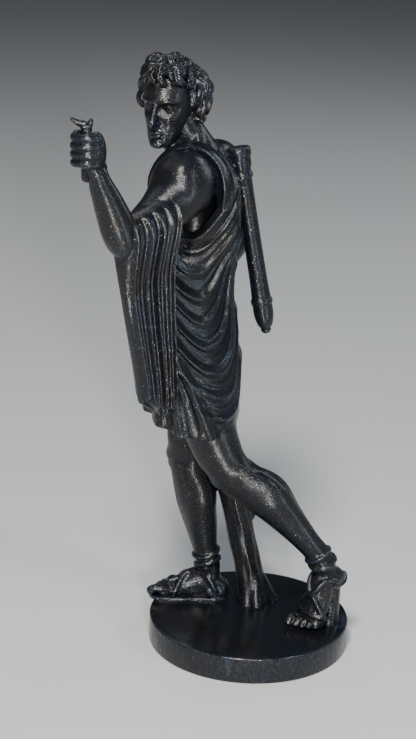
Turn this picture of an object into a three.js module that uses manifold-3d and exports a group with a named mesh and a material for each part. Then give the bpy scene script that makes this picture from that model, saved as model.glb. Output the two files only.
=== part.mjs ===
// A small printed statue of a young god in a short tunic and a cloak, standing on a round base.
// Millimetres, +Z up, with the origin at the middle of the underside.
// The figure faces -Y, so its left side is +X.
import * as THREE from "three";
import { mergeVertices } from "three/addons/utils/BufferGeometryUtils.js";
import Module from "manifold-3d";

const wasm = await Module();
wasm.setup();

// Driving sizes
const BASE_RADIUS = 30;
const BASE_HEIGHT = 8;
const BASE_EDGE = 0.5;
const SINK = 0.3;
const GROUND = BASE_HEIGHT - SINK;
const SOLE_THICKNESS = 0.9;
const CLOTH = 2.0;
const WAIST = 112;
const PRINT_COLOUR = 0x10141c;

// Places of the figure's joints and of the middle of its head
const JOINTS = {
  rightHip: [-6, -19, 95],
  leftHip: [8.6, -18.5, 94],
  pelvis: [1.6, -18.5, 97],
  waist: [1, -19, 112],
  chest: [0.3, -19.5, 130],
  head: [2.6, -28.4, 161.6],
  leftWrist: [48, -36.4, 150.5],
  rightWrist: [-18.2, -22, 103],
};

const rad = THREE.MathUtils.degToRad;
const smooth = THREE.MathUtils.smoothstep;

// A closed three.js geometry as a solid that can be joined and cut
function solid(geometry) {
  const bare = geometry.clone();
  bare.deleteAttribute("normal");
  bare.deleteAttribute("uv");
  const merged = mergeVertices(bare, 1e-4);
  const made = new wasm.Manifold(
    new wasm.Mesh({
      numProp: 3,
      vertProperties: new Float32Array(merged.attributes.position.array),
      triVerts: new Uint32Array(merged.index.array),
    }),
  );
  return made;
}

function join(solids) {
  return solids.reduce((all, next) => all.add(next));
}

// Reads a table of rows at any share of its length, with a smooth curve through the rows
function sampleRows(rows, share) {
  const place = THREE.MathUtils.clamp(share, 0, 1) * (rows.length - 1);
  const i = Math.min(Math.floor(place), rows.length - 2);
  const t = place - i;
  const row = (k) => rows[THREE.MathUtils.clamp(k, 0, rows.length - 1)];
  return rows[0].map((_, c) => {
    const [p0, p1, p2, p3] = [row(i - 1)[c], row(i)[c], row(i + 1)[c], row(i + 2)[c]];
    const v0 = (p2 - p0) / 2;
    const v1 = (p3 - p1) / 2;
    return (
      (2 * p1 - 2 * p2 + v0 + v1) * t * t * t + (-3 * p1 + 3 * p2 - 2 * v0 - v1) * t * t + v0 * t + p1
    );
  });
}

// Reads a table of [key, value, ...] rows at a key, with a smooth curve through the rows
function readTable(table, key) {
  const last = table.length - 1;
  if (key <= table[0][0]) return table[0].slice(1);
  if (key >= table[last][0]) return table[last].slice(1);
  const i = table.findIndex((row) => row[0] > key) - 1;
  const [low, high] = [table[i], table[i + 1]];
  const [under, over] = [table[Math.max(i - 1, 0)], table[Math.min(i + 2, last)]];
  const span = high[0] - low[0];
  const t = (key - low[0]) / span;
  const slope = (from, to, c) => ((to[c] - from[c]) / (to[0] - from[0])) * span;
  return low.slice(1).map((v, k) => {
    const c = k + 1;
    const start = i > 0 ? slope(under, high, c) : 0;
    const end = i + 1 < last ? slope(low, over, c) : 0;
    const curve = (2 * t - 3) * t * t;
    return v + (v - high[c]) * curve + start * t * (1 - t) * (1 - t) - end * t * t * (1 - t);
  });
}

// A limb: a sphere whose rings are set along a smooth path.
// Each station is [x, y, z, half width, half depth], and front is the way that the depth is measured.
function limb(stations, front, sides = 12, rings = 12) {
  const geometry = new THREE.SphereGeometry(1, sides, rings);
  const positions = geometry.attributes.position;
  const ahead = new THREE.Vector3(...front);
  const p = new THREE.Vector3();
  for (let i = 0; i < positions.count; i++) {
    p.fromBufferAttribute(positions, i);
    const share = Math.acos(THREE.MathUtils.clamp(p.y, -1, 1)) / Math.PI;
    const angle = Math.atan2(p.z, p.x);
    const here = sampleRows(stations, share);
    const before = sampleRows(stations, share - 0.02);
    const after = sampleRows(stations, share + 0.02);
    const along = new THREE.Vector3(...after).sub(new THREE.Vector3(...before)).normalize();
    const side = new THREE.Vector3().crossVectors(along, ahead).normalize();
    const depth = new THREE.Vector3().crossVectors(side, along).normalize();
    const ring = Math.min(1, Math.sqrt(Math.max(0, share * (1 - share))) * 4);
    p.set(here[0], here[1], here[2]);
    p.addScaledVector(side, Math.cos(angle) * here[3] * ring);
    p.addScaledVector(depth, Math.sin(angle) * here[4] * ring);
    positions.setXYZ(i, p.x, p.y, p.z);
  }
  return facingOut(geometry);
}

// A remapped sphere or cylinder may come out inside out, so its volume decides which way its faces turn
function facingOut(geometry) {
  const index = geometry.index.array;
  const at = (k) => new THREE.Vector3().fromBufferAttribute(geometry.attributes.position, index[k]);
  let volume = 0;
  for (let i = 0; i < index.length; i += 3) volume += at(i).dot(at(i + 1).cross(at(i + 2)));
  if (volume < 0) index.reverse();
  return solid(geometry);
}

function ball(centre, radii, turns = [0, 0, 0], detail = 2) {
  const geometry = new THREE.IcosahedronGeometry(1, detail);
  geometry.scale(...radii);
  geometry.applyMatrix4(new THREE.Matrix4().makeRotationFromEuler(new THREE.Euler(...turns.map(rad))));
  geometry.translate(...centre);
  return solid(geometry);
}

// A straight round rod between two places
function rod(from, to, startRadius, endRadius, sides = 8) {
  const [start, end] = [new THREE.Vector3(...from), new THREE.Vector3(...to)];
  const along = end.clone().sub(start);
  const geometry = new THREE.CylinderGeometry(endRadius, startRadius, along.length(), sides);
  const upright = new THREE.Vector3(0, 1, 0);
  geometry.applyQuaternion(new THREE.Quaternion().setFromUnitVectors(upright, along.clone().normalize()));
  geometry.translate(...start.add(end).multiplyScalar(0.5).toArray());
  return solid(geometry);
}

// A round cord along a smooth path
function cordAlong(points, radius, steps) {
  const sides = 6;
  const section = new THREE.Shape().absarc(0, 0, radius, 0, 2 * Math.PI);
  const path = new THREE.CatmullRomCurve3(points.map((q) => new THREE.Vector3(...q)));
  return solid(
    new THREE.ExtrudeGeometry(section, {
      steps,
      curveSegments: sides / 2,
      bevelEnabled: false,
      extrudePath: path,
    }),
  );
}

// The round base, with a small chamfer on its top edge
function base() {
  const profile = [
    [0, 0],
    [BASE_RADIUS, 0],
    [BASE_RADIUS, BASE_HEIGHT - BASE_EDGE],
    [BASE_RADIUS - BASE_EDGE, BASE_HEIGHT],
    [0, BASE_HEIGHT],
  ];
  const geometry = new THREE.LatheGeometry(profile.map((q) => new THREE.Vector2(...q)), 36);
  geometry.rotateX(Math.PI / 2);
  return facingOut(geometry);
}

// Both legs: thigh, knee, calf set back from the bone, and ankle
function legs() {
  const right = [
    [...JOINTS.rightHip, 9.5, 10],
    [-6, -19.4, 80, 8.4, 8.6],
    [-5.2, -20.6, 66, 6.8, 7.2],
    [-4.7, -21.3, 56, 5.3, 5.9],
    [-4.6, -20.8, 50, 4.8, 5.4],
    [-5, -18.6, 42, 5.1, 5.8],
    [-5.8, -17, 34, 4.4, 5.0],
    [-6.6, -15.4, 24, 3.1, 3.6],
    [-7, -14.2, 17, 3.0, 3.4],
    [-7, -13.8, 11, 3, 3],
  ];
  const left = [
    [...JOINTS.leftHip, 8.8, 8.8],
    [9.3, -16.4, 80, 8.2, 8.4],
    [9.3, -11.2, 67, 6.8, 7.2],
    [9.4, -6.6, 58.8, 5.5, 6.1],
    [9, -1.2, 54.2, 5.2, 6.0],
    [8, 5.4, 49.8, 5.5, 6.3],
    [6.6, 11.2, 43.4, 4.5, 4.9],
    [4.8, 17.6, 35.6, 3.2, 3.7],
    [2.6, 21.6, 29.6, 3.1, 3.4],
    [1, 22.8, 24.6, 3.2, 3.4],
    [1.6, 21.8, 19, 3, 3.2],
  ];
  return join([
    limb(right, [0, -1, 0.1], 10, 12),
    limb(left, [0, -0.6, -0.8], 10, 12),
    ball([-4.5, -24.2, 54], [3.2, 2.7, 4.2], [8, 0, 0], 1),
    ball([9.8, -8.2, 55.4], [2.9, 2.9, 3.8], [35, 0, 0], 1),
  ]);
}

// Toes from the big one to the little one: place across the foot, half width, length and set back of the root
const TOES = [
  [-3.2, 1.75, 4.2, 0],
  [-0.7, 1.15, 2.95, 0.125],
  [0.9, 1.15, 2.5, 0.5],
  [2.5, 1.15, 2.05, 1.125],
  [4.1, 1.15, 1.6, 2],
];

// Toes from the middle of their roots: ahead is the way they point, across is the way to the little toe
function toes(at, ahead, across, up) {
  const made = TOES.map(([place, width, length, back]) => {
    const root = new THREE.Vector3(...at).addScaledVector(new THREE.Vector3(...across), place);
    const row = (distance, lift) => {
      const q = root.clone().addScaledVector(new THREE.Vector3(...ahead), distance - back);
      q.addScaledVector(new THREE.Vector3(...up), lift);
      return [...q.toArray(), width, width * 0.85];
    };
    return limb([row(-1.5, 0), row(0.5, 0), row(length * 0.6, 0.35), row(length, 0)], up, 5, 4);
  });
  return join(made);
}

// The standing foot, flat on its sandal sole
function rightFoot() {
  const sole = new THREE.Shape();
  sole.moveTo(-3.2, 0.5);
  sole.bezierCurveTo(-3.6, 3.6, 3.2, 3.6, 3.1, 0.5);
  sole.bezierCurveTo(3.0, -6, 5.2, -12, 5.0, -17);
  sole.bezierCurveTo(4.8, -23, -4.0, -22.5, -4.7, -17);
  sole.bezierCurveTo(-5.2, -12, -2.6, -6, -3.2, 0.5);
  const depth = SOLE_THICKNESS + SINK;
  const slab = new THREE.ExtrudeGeometry(sole, { depth, curveSegments: 3, bevelEnabled: false });
  slab.rotateZ(rad(6));
  slab.translate(-7.4, -11.4, GROUND);
  const stations = [
    [-7.7, -8, 11.4, 2.4, 2.4],
    [-7.6, -10.6, 11.6, 3.2, 3.2],
    [-7.2, -14.9, 12.8, 3.3, 4.4],
    [-6.7, -18.9, 12.4, 3.6, 3.9],
    [-6.2, -22.9, 11.2, 4.4, 2.8],
    [-5.8, -26.9, 10.3, 4.8, 2.0],
    [-5.6, -29, 10.0, 4.6, 1.5],
  ];
  return join([
    solid(slab),
    limb(stations, [0, 0, 1], 10, 9),
    toes([-5.5, -28, 10.1], [0.1, -0.99, -0.02], [-0.97, -0.1, 0], [0, 0, 1]),
  ]);
}

// The trailing foot, up on its toes, with the strut of material under its heel
function leftFoot() {
  const stations = [
    [-2.8, 26.4, 25.4, 2.4, 2.6],
    [-1.8, 25.4, 24.2, 3.5, 3.8],
    [1.2, 22.4, 22, 3.5, 4.3],
    [2.0, 21.6, 17.6, 3.8, 3.9],
    [3.2, 20.2, 13.6, 4.5, 3.0],
    [4.4, 18.8, 11.0, 4.8, 2.2],
    [5.2, 18, 10.0, 4.4, 1.7],
  ];
  const strut = [
    [-2.2, 25, 24, 2.2, 2.4],
    [-2.2, 25, 19, 2.2, 2.6],
    [-1.8, 24.6, 13, 2.6, 3.0],
    [-1.4, 24.2, 7.8, 3.2, 3.6],
    [-1.4, 24, 6.8, 3.2, 3.6],
  ];
  return join([
    limb(stations, [0.75, -0.5, 0.45], 10, 9),
    limb(strut, [1, 0, 0], 8, 5),
    toes([5, 17.8, 9.7], [0.78, -0.62, -0.05], [0.62, 0.78, 0], [0, 0, 1]),
    ball([3.4, 19.6, 8.8], [4.4, 3.6, 1.6], [0, 0, 50], 1),
  ]);
}

// The tree stump that carries the standing leg, with its roots and the knot of a cut branch
function stump() {
  const stations = [
    [-10, -0.4, 6.8, 6.4, 6],
    [-10, -0.6, 9.5, 5.8, 5.4],
    [-10, -1.4, 14, 4.6, 4.3],
    [-9.8, -4.4, 26, 4.2, 4.0],
    [-9.4, -7.8, 40, 4.2, 4.1],
    [-9, -11, 54, 4.4, 4.3],
    [-8.8, -13.2, 70, 4.4, 4.4],
    [-8.6, -14, 84, 4, 4],
  ];
  const roots = [20, 95, 160, 235].map((degrees, k) => {
    const out = new THREE.Vector3(Math.cos(rad(degrees)), Math.sin(rad(degrees)), 0);
    const reach = 7.4 - 0.5 * k;
    const at = (d, z) => [-10 + out.x * d, -0.4 + out.y * d, z];
    return limb(
      [
        [...at(2.5, 15), 1.4, 1.4],
        [...at(4.6, 10.5), 1.9, 1.6],
        [...at(reach, 7.8), 1.3, 1],
      ],
      [0.3, 0.2, 1],
      5,
      4,
    );
  });
  const knot = limb(
    [
      [-10, -5, 32, 1.8, 1.8],
      [-12.6, -3.6, 34, 1.7, 1.7],
      [-14.4, -2.6, 36, 1.5, 1.5],
    ],
    [0, 1, 0],
    7,
    4,
  );
  return join([limb(stations, [0, 1, 0], 8, 9), knot, ...roots]);
}

// The bare upper body and neck
function torso() {
  const stations = [
    [...JOINTS.pelvis, 12, 9],
    [1.4, -18.8, 104, 11.5, 8.6],
    [...JOINTS.waist, 10.8, 8],
    [0.6, -19.2, 121, 12.8, 9.2],
    [...JOINTS.chest, 15, 10.4],
    [0, -19.6, 138, 16.4, 9.6],
    [0.2, -19.6, 145.5, 11.5, 6.6],
    [0.8, -21.2, 150, 5.4, 5.2],
    [1.6, -24.2, 155, 4.6, 4.8],
    [2.2, -27, 161, 4.4, 4.6],
  ];
  return limb(stations, [0, -1, 0], 12, 11);
}

function arms() {
  const left = [
    [3, -20, 136, 5, 5],
    [10.5, -20, 140.2, 7.6, 7.4],
    [18.5, -20.6, 142.6, 9.2, 9],
    [24, -22.6, 138.8, 7.4, 7.4],
    [31, -25.8, 134.6, 5.5, 5.6],
    [37, -28.6, 131.6, 4.7, 4.8],
    [41.2, -30.6, 131.2, 4.6, 4.6],
    [43.2, -32.2, 136, 4.7, 4.7],
    [45.6, -34.4, 143, 3.9, 3.9],
    [47.6, -36.1, 149, 2.9, 2.7],
    [48.2, -36.8, 153, 2.9, 2.6],
  ];
  const right = [
    [-3, -19.8, 136, 5, 5],
    [-11, -19.6, 140.2, 7.2, 7.0],
    [-17.6, -19.0, 140.0, 8.0, 7.8],
    [-22, -17.4, 134.6, 6.6, 6.6],
    [-25.4, -15.4, 127.4, 5.3, 5.4],
    [-28.6, -13.6, 121.6, 4.5, 4.6],
    [-29.4, -13.6, 118.6, 4.5, 4.5],
    [-27, -15.6, 114.4, 4.5, 4.5],
    [-22.8, -19, 108.6, 3.7, 3.7],
    [-19, -21.6, 104, 2.8, 2.9],
    [-17.6, -23, 102, 2.5, 2.9],
  ];
  return join([limb(left, [0, -1, 0.3], 9, 14), limb(right, [0, -1, 0.2], 8, 13)]);
}

// The raised left hand, closed round the stub of something lost
function leftHand() {
  const [wristX, wristY, wristZ] = JOINTS.leftWrist;
  const at = (x, y, z) => [wristX + x, wristY + y, wristZ + z];
  const fingers = [0, 1, 2, 3].map((k) => {
    const z = 2.8 + 2.2 * k;
    return limb(
      [
        [...at(2.4, 0.6, z), 1.2, 1.2],
        [...at(3.8, -2.2, z + 0.1), 1.3, 1.3],
        [...at(2.8, -5.2, z), 1.2, 1.2],
        [...at(0.2, -5.9, z - 0.1), 1.15, 1.15],
        [...at(-1.6, -4.2, z - 0.2), 1.1, 1.1],
      ],
      [0, 0, 1],
      5,
      5,
    );
  });
  const thumb = limb(
    [
      [...at(-1.8, -0.4, 2.4), 1.7, 1.7],
      [...at(-2.8, -2.4, 6.4), 1.5, 1.5],
      [...at(-1.9, -4.8, 8.8), 1.35, 1.35],
      [...at(0.2, -6.2, 9.8), 1.1, 1.1],
    ],
    [1, 0, 0],
    5,
    5,
  );
  return join([
    rod(at(-0.4, -3.1, -1.6), at(0.5, -3.1, 12.2), 1.4, 1.5, 6),
    rod(at(0.4, -2.6, 11.2), at(1.2, -6.4, 13.6), 1.3, 1.0, 6),
    ball(at(0.7, -0.2, 5.4), [3.2, 2.5, 5.6], [0, 4, 0], 1),
    ...fingers,
    thumb,
  ]);
}

// The right hand, resting flat on the hip
function rightHand() {
  const [wristX, wristY, wristZ] = JOINTS.rightWrist;
  const at = (x, y, z) => [wristX + x, wristY + y, wristZ + z];
  const fingers = [0, 1, 2, 3].map((k) =>
    limb(
      [
        [...at(0.6, -2.0 + 0.2 * k, 0.4 - 1.8 * k), 1.2, 1.2],
        [...at(2.2, -6.2 + 0.3 * k, -0.4 - 2.3 * k), 1.1, 1.1],
        [...at(4.4, -8.8 + 0.6 * k, -1.2 - 2.4 * k), 1.0, 1.0],
      ],
      [0, 0, 1],
      5,
      4,
    ),
  );
  return join([ball(at(0.6, -1.8, -2.2), [1.9, 4.0, 4.3], [0, 0, -20], 1), ...fingers]);
}

// The head is turned to its left and nods a little. Its own frame has the face towards -Y.
const HEAD_TURN = 74;
const HEAD_NOD = 6;
// Height over the middle of the head, then half width, reach of the face and reach of the back of the head
const HEAD_SECTIONS = [
  [-11, 0.6, 6.6, -5.4],
  [-10.4, 2.9, 8.3, -3.4],
  [-8.6, 4.3, 8.8, 1],
  [-6, 5.4, 8.7, 4.4],
  [-3, 6.3, 8.6, 6.8],
  [0, 7.0, 8.4, 8.6],
  [3, 7.3, 8.7, 9.5],
  [6, 7.1, 7.9, 9.5],
  [9, 5.4, 5.8, 7.2],
  [10.6, 2.6, 3.0, 3.6],
  [11, 0.3, 0.8, 0.8],
];
// Forms of the face: middle to the side, height, half width, half height, and how far it stands out
const FACE_FORMS = [
  [0, 0.6, 1.0, 2.4, 1.5],
  [0, -2.6, 1.1, 2.0, 2.6],
  [0, -3.9, 1.8, 0.9, 1.1],
  [2.6, 2.6, 2.4, 0.9, 0.4],
  [3.1, 0.4, 1.7, 1.3, -1.2],
  [3.2, 0.3, 1.1, 0.8, 0.7],
  [4.1, -2.6, 2.0, 1.8, 0.4],
  [0, -6.3, 1.9, 0.55, 0.6],
  [0, -7.5, 1.6, 0.6, 0.6],
  [0, -8.4, 1.6, 0.4, -0.3],
  [0, -10, 1.7, 1.1, 0.6],
];

function headPlace() {
  return new THREE.Matrix4()
    .makeTranslation(...JOINTS.head)
    .multiply(new THREE.Matrix4().makeRotationZ(rad(HEAD_TURN)))
    .multiply(new THREE.Matrix4().makeRotationX(rad(HEAD_NOD)));
}

// A ball reshaped by a function of its height (-1 to 1) and of its angle round from the front
function headForm(sides, rings, shape) {
  const geometry = new THREE.SphereGeometry(1, sides, rings);
  const positions = geometry.attributes.position;
  for (let i = 0; i < positions.count; i++) {
    const height = positions.getY(i);
    const round = Math.hypot(positions.getX(i), positions.getZ(i));
    const even = round < 1e-6 ? 0 : Math.atan2(positions.getX(i), positions.getZ(i));
    const angle = even - 0.4 * Math.sin(even);
    positions.setXYZ(i, ...shape(height, round < 1e-6 ? 0 : round, angle));
  }
  geometry.applyMatrix4(headPlace());
  return facingOut(geometry);
}

function head() {
  const tall = 11;
  return headForm(20, 18, (height, round, angle) => {
    const z = height * tall;
    const [half, front, back] = readTable(HEAD_SECTIONS, z);
    const middle = (back - front) / 2;
    const depth = (back + front) / 2;
    const x = Math.sin(angle) * half;
    let y = middle - Math.cos(angle) * depth;
    const onFace = smooth(Math.cos(angle), 0, 0.25);
    for (const [side, up, wide, high, out] of FACE_FORMS) {
      const across = (Math.abs(x) - side) / wide;
      y -= onFace * out * Math.exp(-across * across - Math.pow((z - up) / high, 2));
    }
    return round > 0 ? [x, y, z] : [0, middle, z];
  });
}

// Curls: a cap of hair whose surface swells into locks, in waves that run round and up the head
const HAIR_REACH = [9.3, 9.8, 8.8];

function hair() {
  return headForm(24, 12, (height, round, angle) => {
    const facing = Math.cos(angle);
    const lock = Math.cos(7 * angle + 4 * height) * Math.cos(8 * height + 1.5 * Math.sin(2 * angle));
    const edge = Math.min(1, round * 2);
    const face = smooth(facing, 0.2, 0.7) * (1 - smooth(height, 0.2, 0.5)) * edge;
    const nape = smooth(-facing, -0.5, 0.5);
    const low = 1 - smooth(height, -0.9, -0.4);
    const crown = 0.12 * smooth(height, 0, 0.7) * Math.abs(Math.sin(angle));
    const swell = 1 + 0.15 * lock * edge - 0.36 * face - crown - (0.26 - 0.16 * nape) * low;
    const long = 1 + 0.5 * nape * smooth(-height, 0, 0.7);
    return [
      Math.sin(angle) * round * HAIR_REACH[0] * swell,
      -facing * round * HAIR_REACH[1] * swell + 1.4,
      height * HAIR_REACH[2] * swell * long + 3.6,
    ];
  });
}

// The tunic and the cloak hang as one skin round the body, given by its distance from a line in the body.
// The angle is 0 on the left side, 90 behind, 180 on the right and 270 in front.
const GARMENT_AXIS = [
  [69, 2, -17.5],
  [85, 2, -17.5],
  [97, 1.5, -18],
  [110, 1, -18.6],
  [122, 0.5, -19],
  [150, 0.4, -19.4],
];
// Height, then half sizes to the left, behind, to the right and in front
const GARMENT_REACH = [
  [69, 17.5, 11.4, 17, 14.2],
  [85, 17, 10.8, 16.5, 13.6],
  [97, 16.2, 10.3, 15.2, 12.2],
  [106, 15.6, 8.8, 13.2, 10.4],
  [112, 15.4, 8.4, 11.8, 9.2],
  [116, 15.4, 8.8, 13.2, 10.8],
  [124, 15.8, 10.0, 15.2, 11.8],
  [134, 16.6, 10.2, 16.8, 11.8],
  [140, 16.2, 9.6, 16.4, 10.4],
  [144, 12.6, 8.2, 13, 8.4],
  [147.5, 7.6, 6.6, 8.2, 6.8],
  [150, 5.8, 5.8, 6, 5.8],
];
// Angle, then the heights of the hem and of the upper edge
const GARMENT_EDGES = [
  [-45, 73, 141],
  [-25, 71.5, 134],
  [-5, 70.2, 128],
  [15, 69.5, 129],
  [32, 69.2, 136],
  [48, 69.4, 144],
  [66, 70, 149],
  [90, 70.6, 149.6],
  [140, 72.5, 149],
  [180, 76.5, 148],
  [225, 77, 148.6],
  [250, 76.5, 145],
  [275, 76, 143],
  [295, 74.5, 143],
  [315, 73, 141],
];

// Hanging folds: how many, where round the side they hang lowest at the top, how far that moves
// back at the hem, and how wide they are. The fan of folds at the front spreads from its own middle.
const FOLDS = 9;
const SWAG_LOWEST = 20;
const SWAG_SHIFT = 28;
const SWAG_SPREAD = 55;
const FAN_TOP = 104;
const FAN_MIDDLE = -28;
const FAN_EDGE = 1.8;
const ROWS_PER_FOLD = 3;
const COLUMNS = 36;
const PLEAT_ANGLE = (3 * 360) / COLUMNS;
const wrapped = (degrees) => ((((degrees + 45) % 360) + 360) % 360) - 45;

// How far a fold stands out at a phase: a narrow crest and a wide valley
const crest = (phase) => Math.pow(0.5 + 0.5 * Math.cos(2 * Math.PI * phase), 1.3);

// 1 on the cloak, on the left side and over the left of the back, and 0 on the tunic
const cloakShare = (a) => smooth(a, -42, -20) * (1 - smooth(a, 118, 150));

// The height of a fold line: it hangs in a curve between the arm and the back.
// The fall is 0 along the upper edge and 1 along the hem.
function foldHeight(degrees, fall) {
  const a = wrapped(degrees);
  const [hem, top] = readTable(GARMENT_EDGES, a);
  const down = Math.pow(fall, 1.3);
  const aside = (a - SWAG_LOWEST - SWAG_SHIFT * fall) / SWAG_SPREAD;
  const swag = Math.min(0.17, 0.3 * aside * aside - 0.13) * cloakShare(a);
  return THREE.MathUtils.lerp(top, hem, down - swag * 4 * down * (1 - down));
}

function foldsAt(degrees, fall, z) {
  const a = wrapped(degrees);
  const cloak = cloakShare(a);
  const swag = crest(fall * FOLDS) * (1.7 - 0.5 * (1 - fall)) * (1 - 0.75 * smooth(fall, 0.8, 1));
  const fan = crest((1.6 * (a - FAN_MIDDLE)) / (8 + Math.max(0, FAN_TOP - z)));
  const fanned = (1 - smooth(a + 15 - FAN_EDGE * (97 - z), -8, 14)) * (1 - smooth(z, 94, 106));
  const skirt = crest(a / PLEAT_ANGLE) * (1 - smooth(z, 105, 112)) * (1.1 + 1.2 * smooth(112 - z, 0, 34));
  const loose = smooth(z, 112, 118) * (1 - smooth(z, 138, 148));
  const blouse = crest(a / PLEAT_ANGLE + 0.5 + (z - 112) * 0.012) * loose;
  const hanging = swag * (1 - 0.85 * fanned) + 1.9 * fan * fanned;
  return cloak * hanging + (1 - cloak) * (skirt + 1.1 * blouse);
}

function garmentPoint(degrees, fall, z, inset = 0) {
  const [x, y] = readTable(GARMENT_AXIS, z);
  const [left, back, right, front] = readTable(GARMENT_REACH, z);
  const a = rad(degrees);
  const alongX = Math.cos(a) > 0 ? left : right;
  const alongY = Math.sin(a) > 0 ? back : front;
  const reach = 1 / Math.hypot(Math.cos(a) / alongX, Math.sin(a) / alongY);
  const hump = (centre, width) => Math.exp(-Math.pow((wrapped(degrees) - centre) / width, 2));
  const toArm = 7 * hump(-20, 17) * smooth(z, 72, 92) * (1 - smooth(z, 112, 127));
  const roundShoulder = 5 * hump(42, 22) * smooth(z, 116, 132) * (1 - smooth(z, 144, 150));
  const roundThigh = 2 * hump(48, 26) * (1 - smooth(z, 80, 98));
  const r = reach + toArm + roundShoulder + roundThigh + (inset ? 0 : foldsAt(degrees, fall, z)) - inset;
  return new THREE.Vector3(x + Math.cos(a) * r, y + Math.sin(a) * r, z);
}

function garment() {
  // Rows from the hollow under the hem, up the outside, and over the upper edge
  const inside = 2;
  const up = FOLDS * ROWS_PER_FOLD;
  const rows = up + 2 * inside;
  const geometry = new THREE.CylinderGeometry(1, 1, 1, COLUMNS, rows, false);
  const positions = geometry.attributes.position;
  for (let i = 0; i < positions.count; i++) {
    const x = positions.getX(i);
    const z = positions.getZ(i);
    const onAxis = Math.hypot(x, z) < 0.5;
    const row = Math.round((positions.getY(i) + 0.5) * rows);
    const degrees = THREE.MathUtils.radToDeg(Math.atan2(z, x));
    const fall = THREE.MathUtils.clamp(1 - (row - inside) / up, 0, 1);
    const level = foldHeight(degrees, fall);
    let p;
    if (onAxis) {
      const middle = row === 0 ? 79 : 122;
      const [ax, ay] = readTable(GARMENT_AXIS, middle);
      p = new THREE.Vector3(ax, ay, middle);
    } else if (row < inside) {
      p = garmentPoint(degrees, fall, level + [7, 0.2][row], [5, CLOTH][row]);
    } else if (row > rows - inside) {
      const over = row - (rows - inside);
      p = garmentPoint(degrees, fall, level - [0, 0.4, 4][over], [0, CLOTH, 5][over]);
    } else {
      p = garmentPoint(degrees, fall, level);
    }
    positions.setXYZ(i, p.x, p.y, p.z);
  }
  return facingOut(geometry);
}

// The rolled edge of the cloak, over the left shoulder beside the neck and down to the front of the armpit
function shoulderRoll() {
  const stations = [
    [15.2, -9.8, 134, 1.6, 1.6],
    [14.8, -9.6, 141, 2.2, 2.2],
    [13.6, -12.4, 147, 2.7, 2.5],
    [11.6, -18.6, 150.2, 2.8, 2.5],
    [10.6, -25.4, 148.2, 2.5, 2.4],
    [11.6, -29.4, 142.4, 2.1, 2.1],
    [14.6, -29, 135, 1.6, 1.6],
  ];
  return limb(stations, [0.8, 0, 0.6], 7, 9);
}

// The cord tied round the waist of the tunic
function belt() {
  const points = [];
  for (let degrees = 120; degrees <= 350; degrees += 23) {
    const p = garmentPoint(degrees, 0.5, WAIST);
    points.push([p.x, p.y, WAIST + 0.02 * (degrees - 230)]);
  }
  return cordAlong(points, 1.5, 10);
}

// The end of the cloak, thrown over the left arm and falling in upright pleats
function armDrape() {
  const around = 30;
  const up = 7;
  const geometry = new THREE.CylinderGeometry(1, 1, 1, around, up, false);
  const positions = geometry.attributes.position;
  const inner = new THREE.Vector3(27.5, -21, 0);
  const outer = new THREE.Vector3(43.5, -31.4, 0);
  for (let i = 0; i < positions.count; i++) {
    const x = positions.getX(i);
    const z = positions.getZ(i);
    const v = positions.getY(i) + 0.5;
    const onAxis = Math.hypot(x, z) < 0.5;
    const a = Math.atan2(z, x);
    const w = onAxis ? 0.5 : 0.5 - 0.5 * Math.cos(a);
    const top = THREE.MathUtils.lerp(142, 137.2, w);
    const bottom = 79 + 5 * w + 1.6 * Math.sin(w * 9);
    const level = THREE.MathUtils.lerp(bottom, top, v);
    const below = top - level;
    const arm = Math.sqrt(Math.max(0, 1 - Math.pow(Math.max(0, 6.5 - below) / 6.5, 2)));
    const thick = THREE.MathUtils.lerp(6.2, 3.0, smooth(below, 4, 22)) * (0.12 + 0.88 * arm);
    const gather = 1 - 0.4 * smooth(below, 4, 60);
    const drift = 4.4 * smooth(below, 8, 62);
    const along = THREE.MathUtils.lerp(0.5 - 0.5 * gather, 0.5 + 0.5 * gather, w);
    const p = inner.clone().lerp(outer, along);
    const out = new THREE.Vector3(0.555, 0.832, 0);
    const pleat = 1.5 * crest(w * 5 + 0.5) - 0.5;
    const side = onAxis ? 0 : Math.sin(a);
    p.addScaledVector(out, Math.sign(side) * Math.pow(Math.abs(side), 0.5) * (thick + pleat * arm));
    p.x -= drift;
    p.y += 0.75 * drift;
    p.z = level;
    positions.setXYZ(i, p.x, p.y, p.z);
  }
  return facingOut(geometry);
}

// The quiver on the back, with a collar at its mouth and a cap at its foot
const QUIVER_TOP = [-3, -9.6, 148];
const QUIVER_FOOT = [-3, 0.6, 97];
function quiver() {
  const [top, foot] = [new THREE.Vector3(...QUIVER_TOP), new THREE.Vector3(...QUIVER_FOOT)];
  const along = (share) => top.clone().lerp(foot, share).toArray();
  const stations = [
    [...along(-0.02), 3.0, 3.0],
    [...along(0.06), 3.1, 3.1],
    [...along(0.12), 2.5, 2.5],
    [...along(0.4), 2.4, 2.4],
    [...along(0.7), 2.5, 2.5],
    [...along(0.86), 2.9, 2.9],
    [...along(1), 1.6, 1.6],
  ];
  return limb(stations, [0, -1, 0], 8, 10);
}

function statue() {
  const whole = join([
    base(),
    stump(),
    legs(),
    rightFoot(),
    leftFoot(),
    torso(),
    arms(),
    leftHand(),
    rightHand(),
    head(),
    hair(),
    garment(),
    shoulderRoll(),
    belt(),
    armDrape(),
    quiver(),
  ]);
  const mesh = whole.getMesh();
  const geometry = new THREE.BufferGeometry();
  geometry.setAttribute("position", new THREE.BufferAttribute(new Float32Array(mesh.vertProperties), 3));
  geometry.setIndex(new THREE.BufferAttribute(new Uint32Array(mesh.triVerts), 1));
  geometry.computeVertexNormals();
  const material = new THREE.MeshStandardMaterial({ color: PRINT_COLOUR, roughness: 0.35, metalness: 0.25 });
  const made = new THREE.Mesh(geometry, material);
  made.name = "statue";
  return made;
}

const part = new THREE.Group();
part.add(statue());
export default part;
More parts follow.
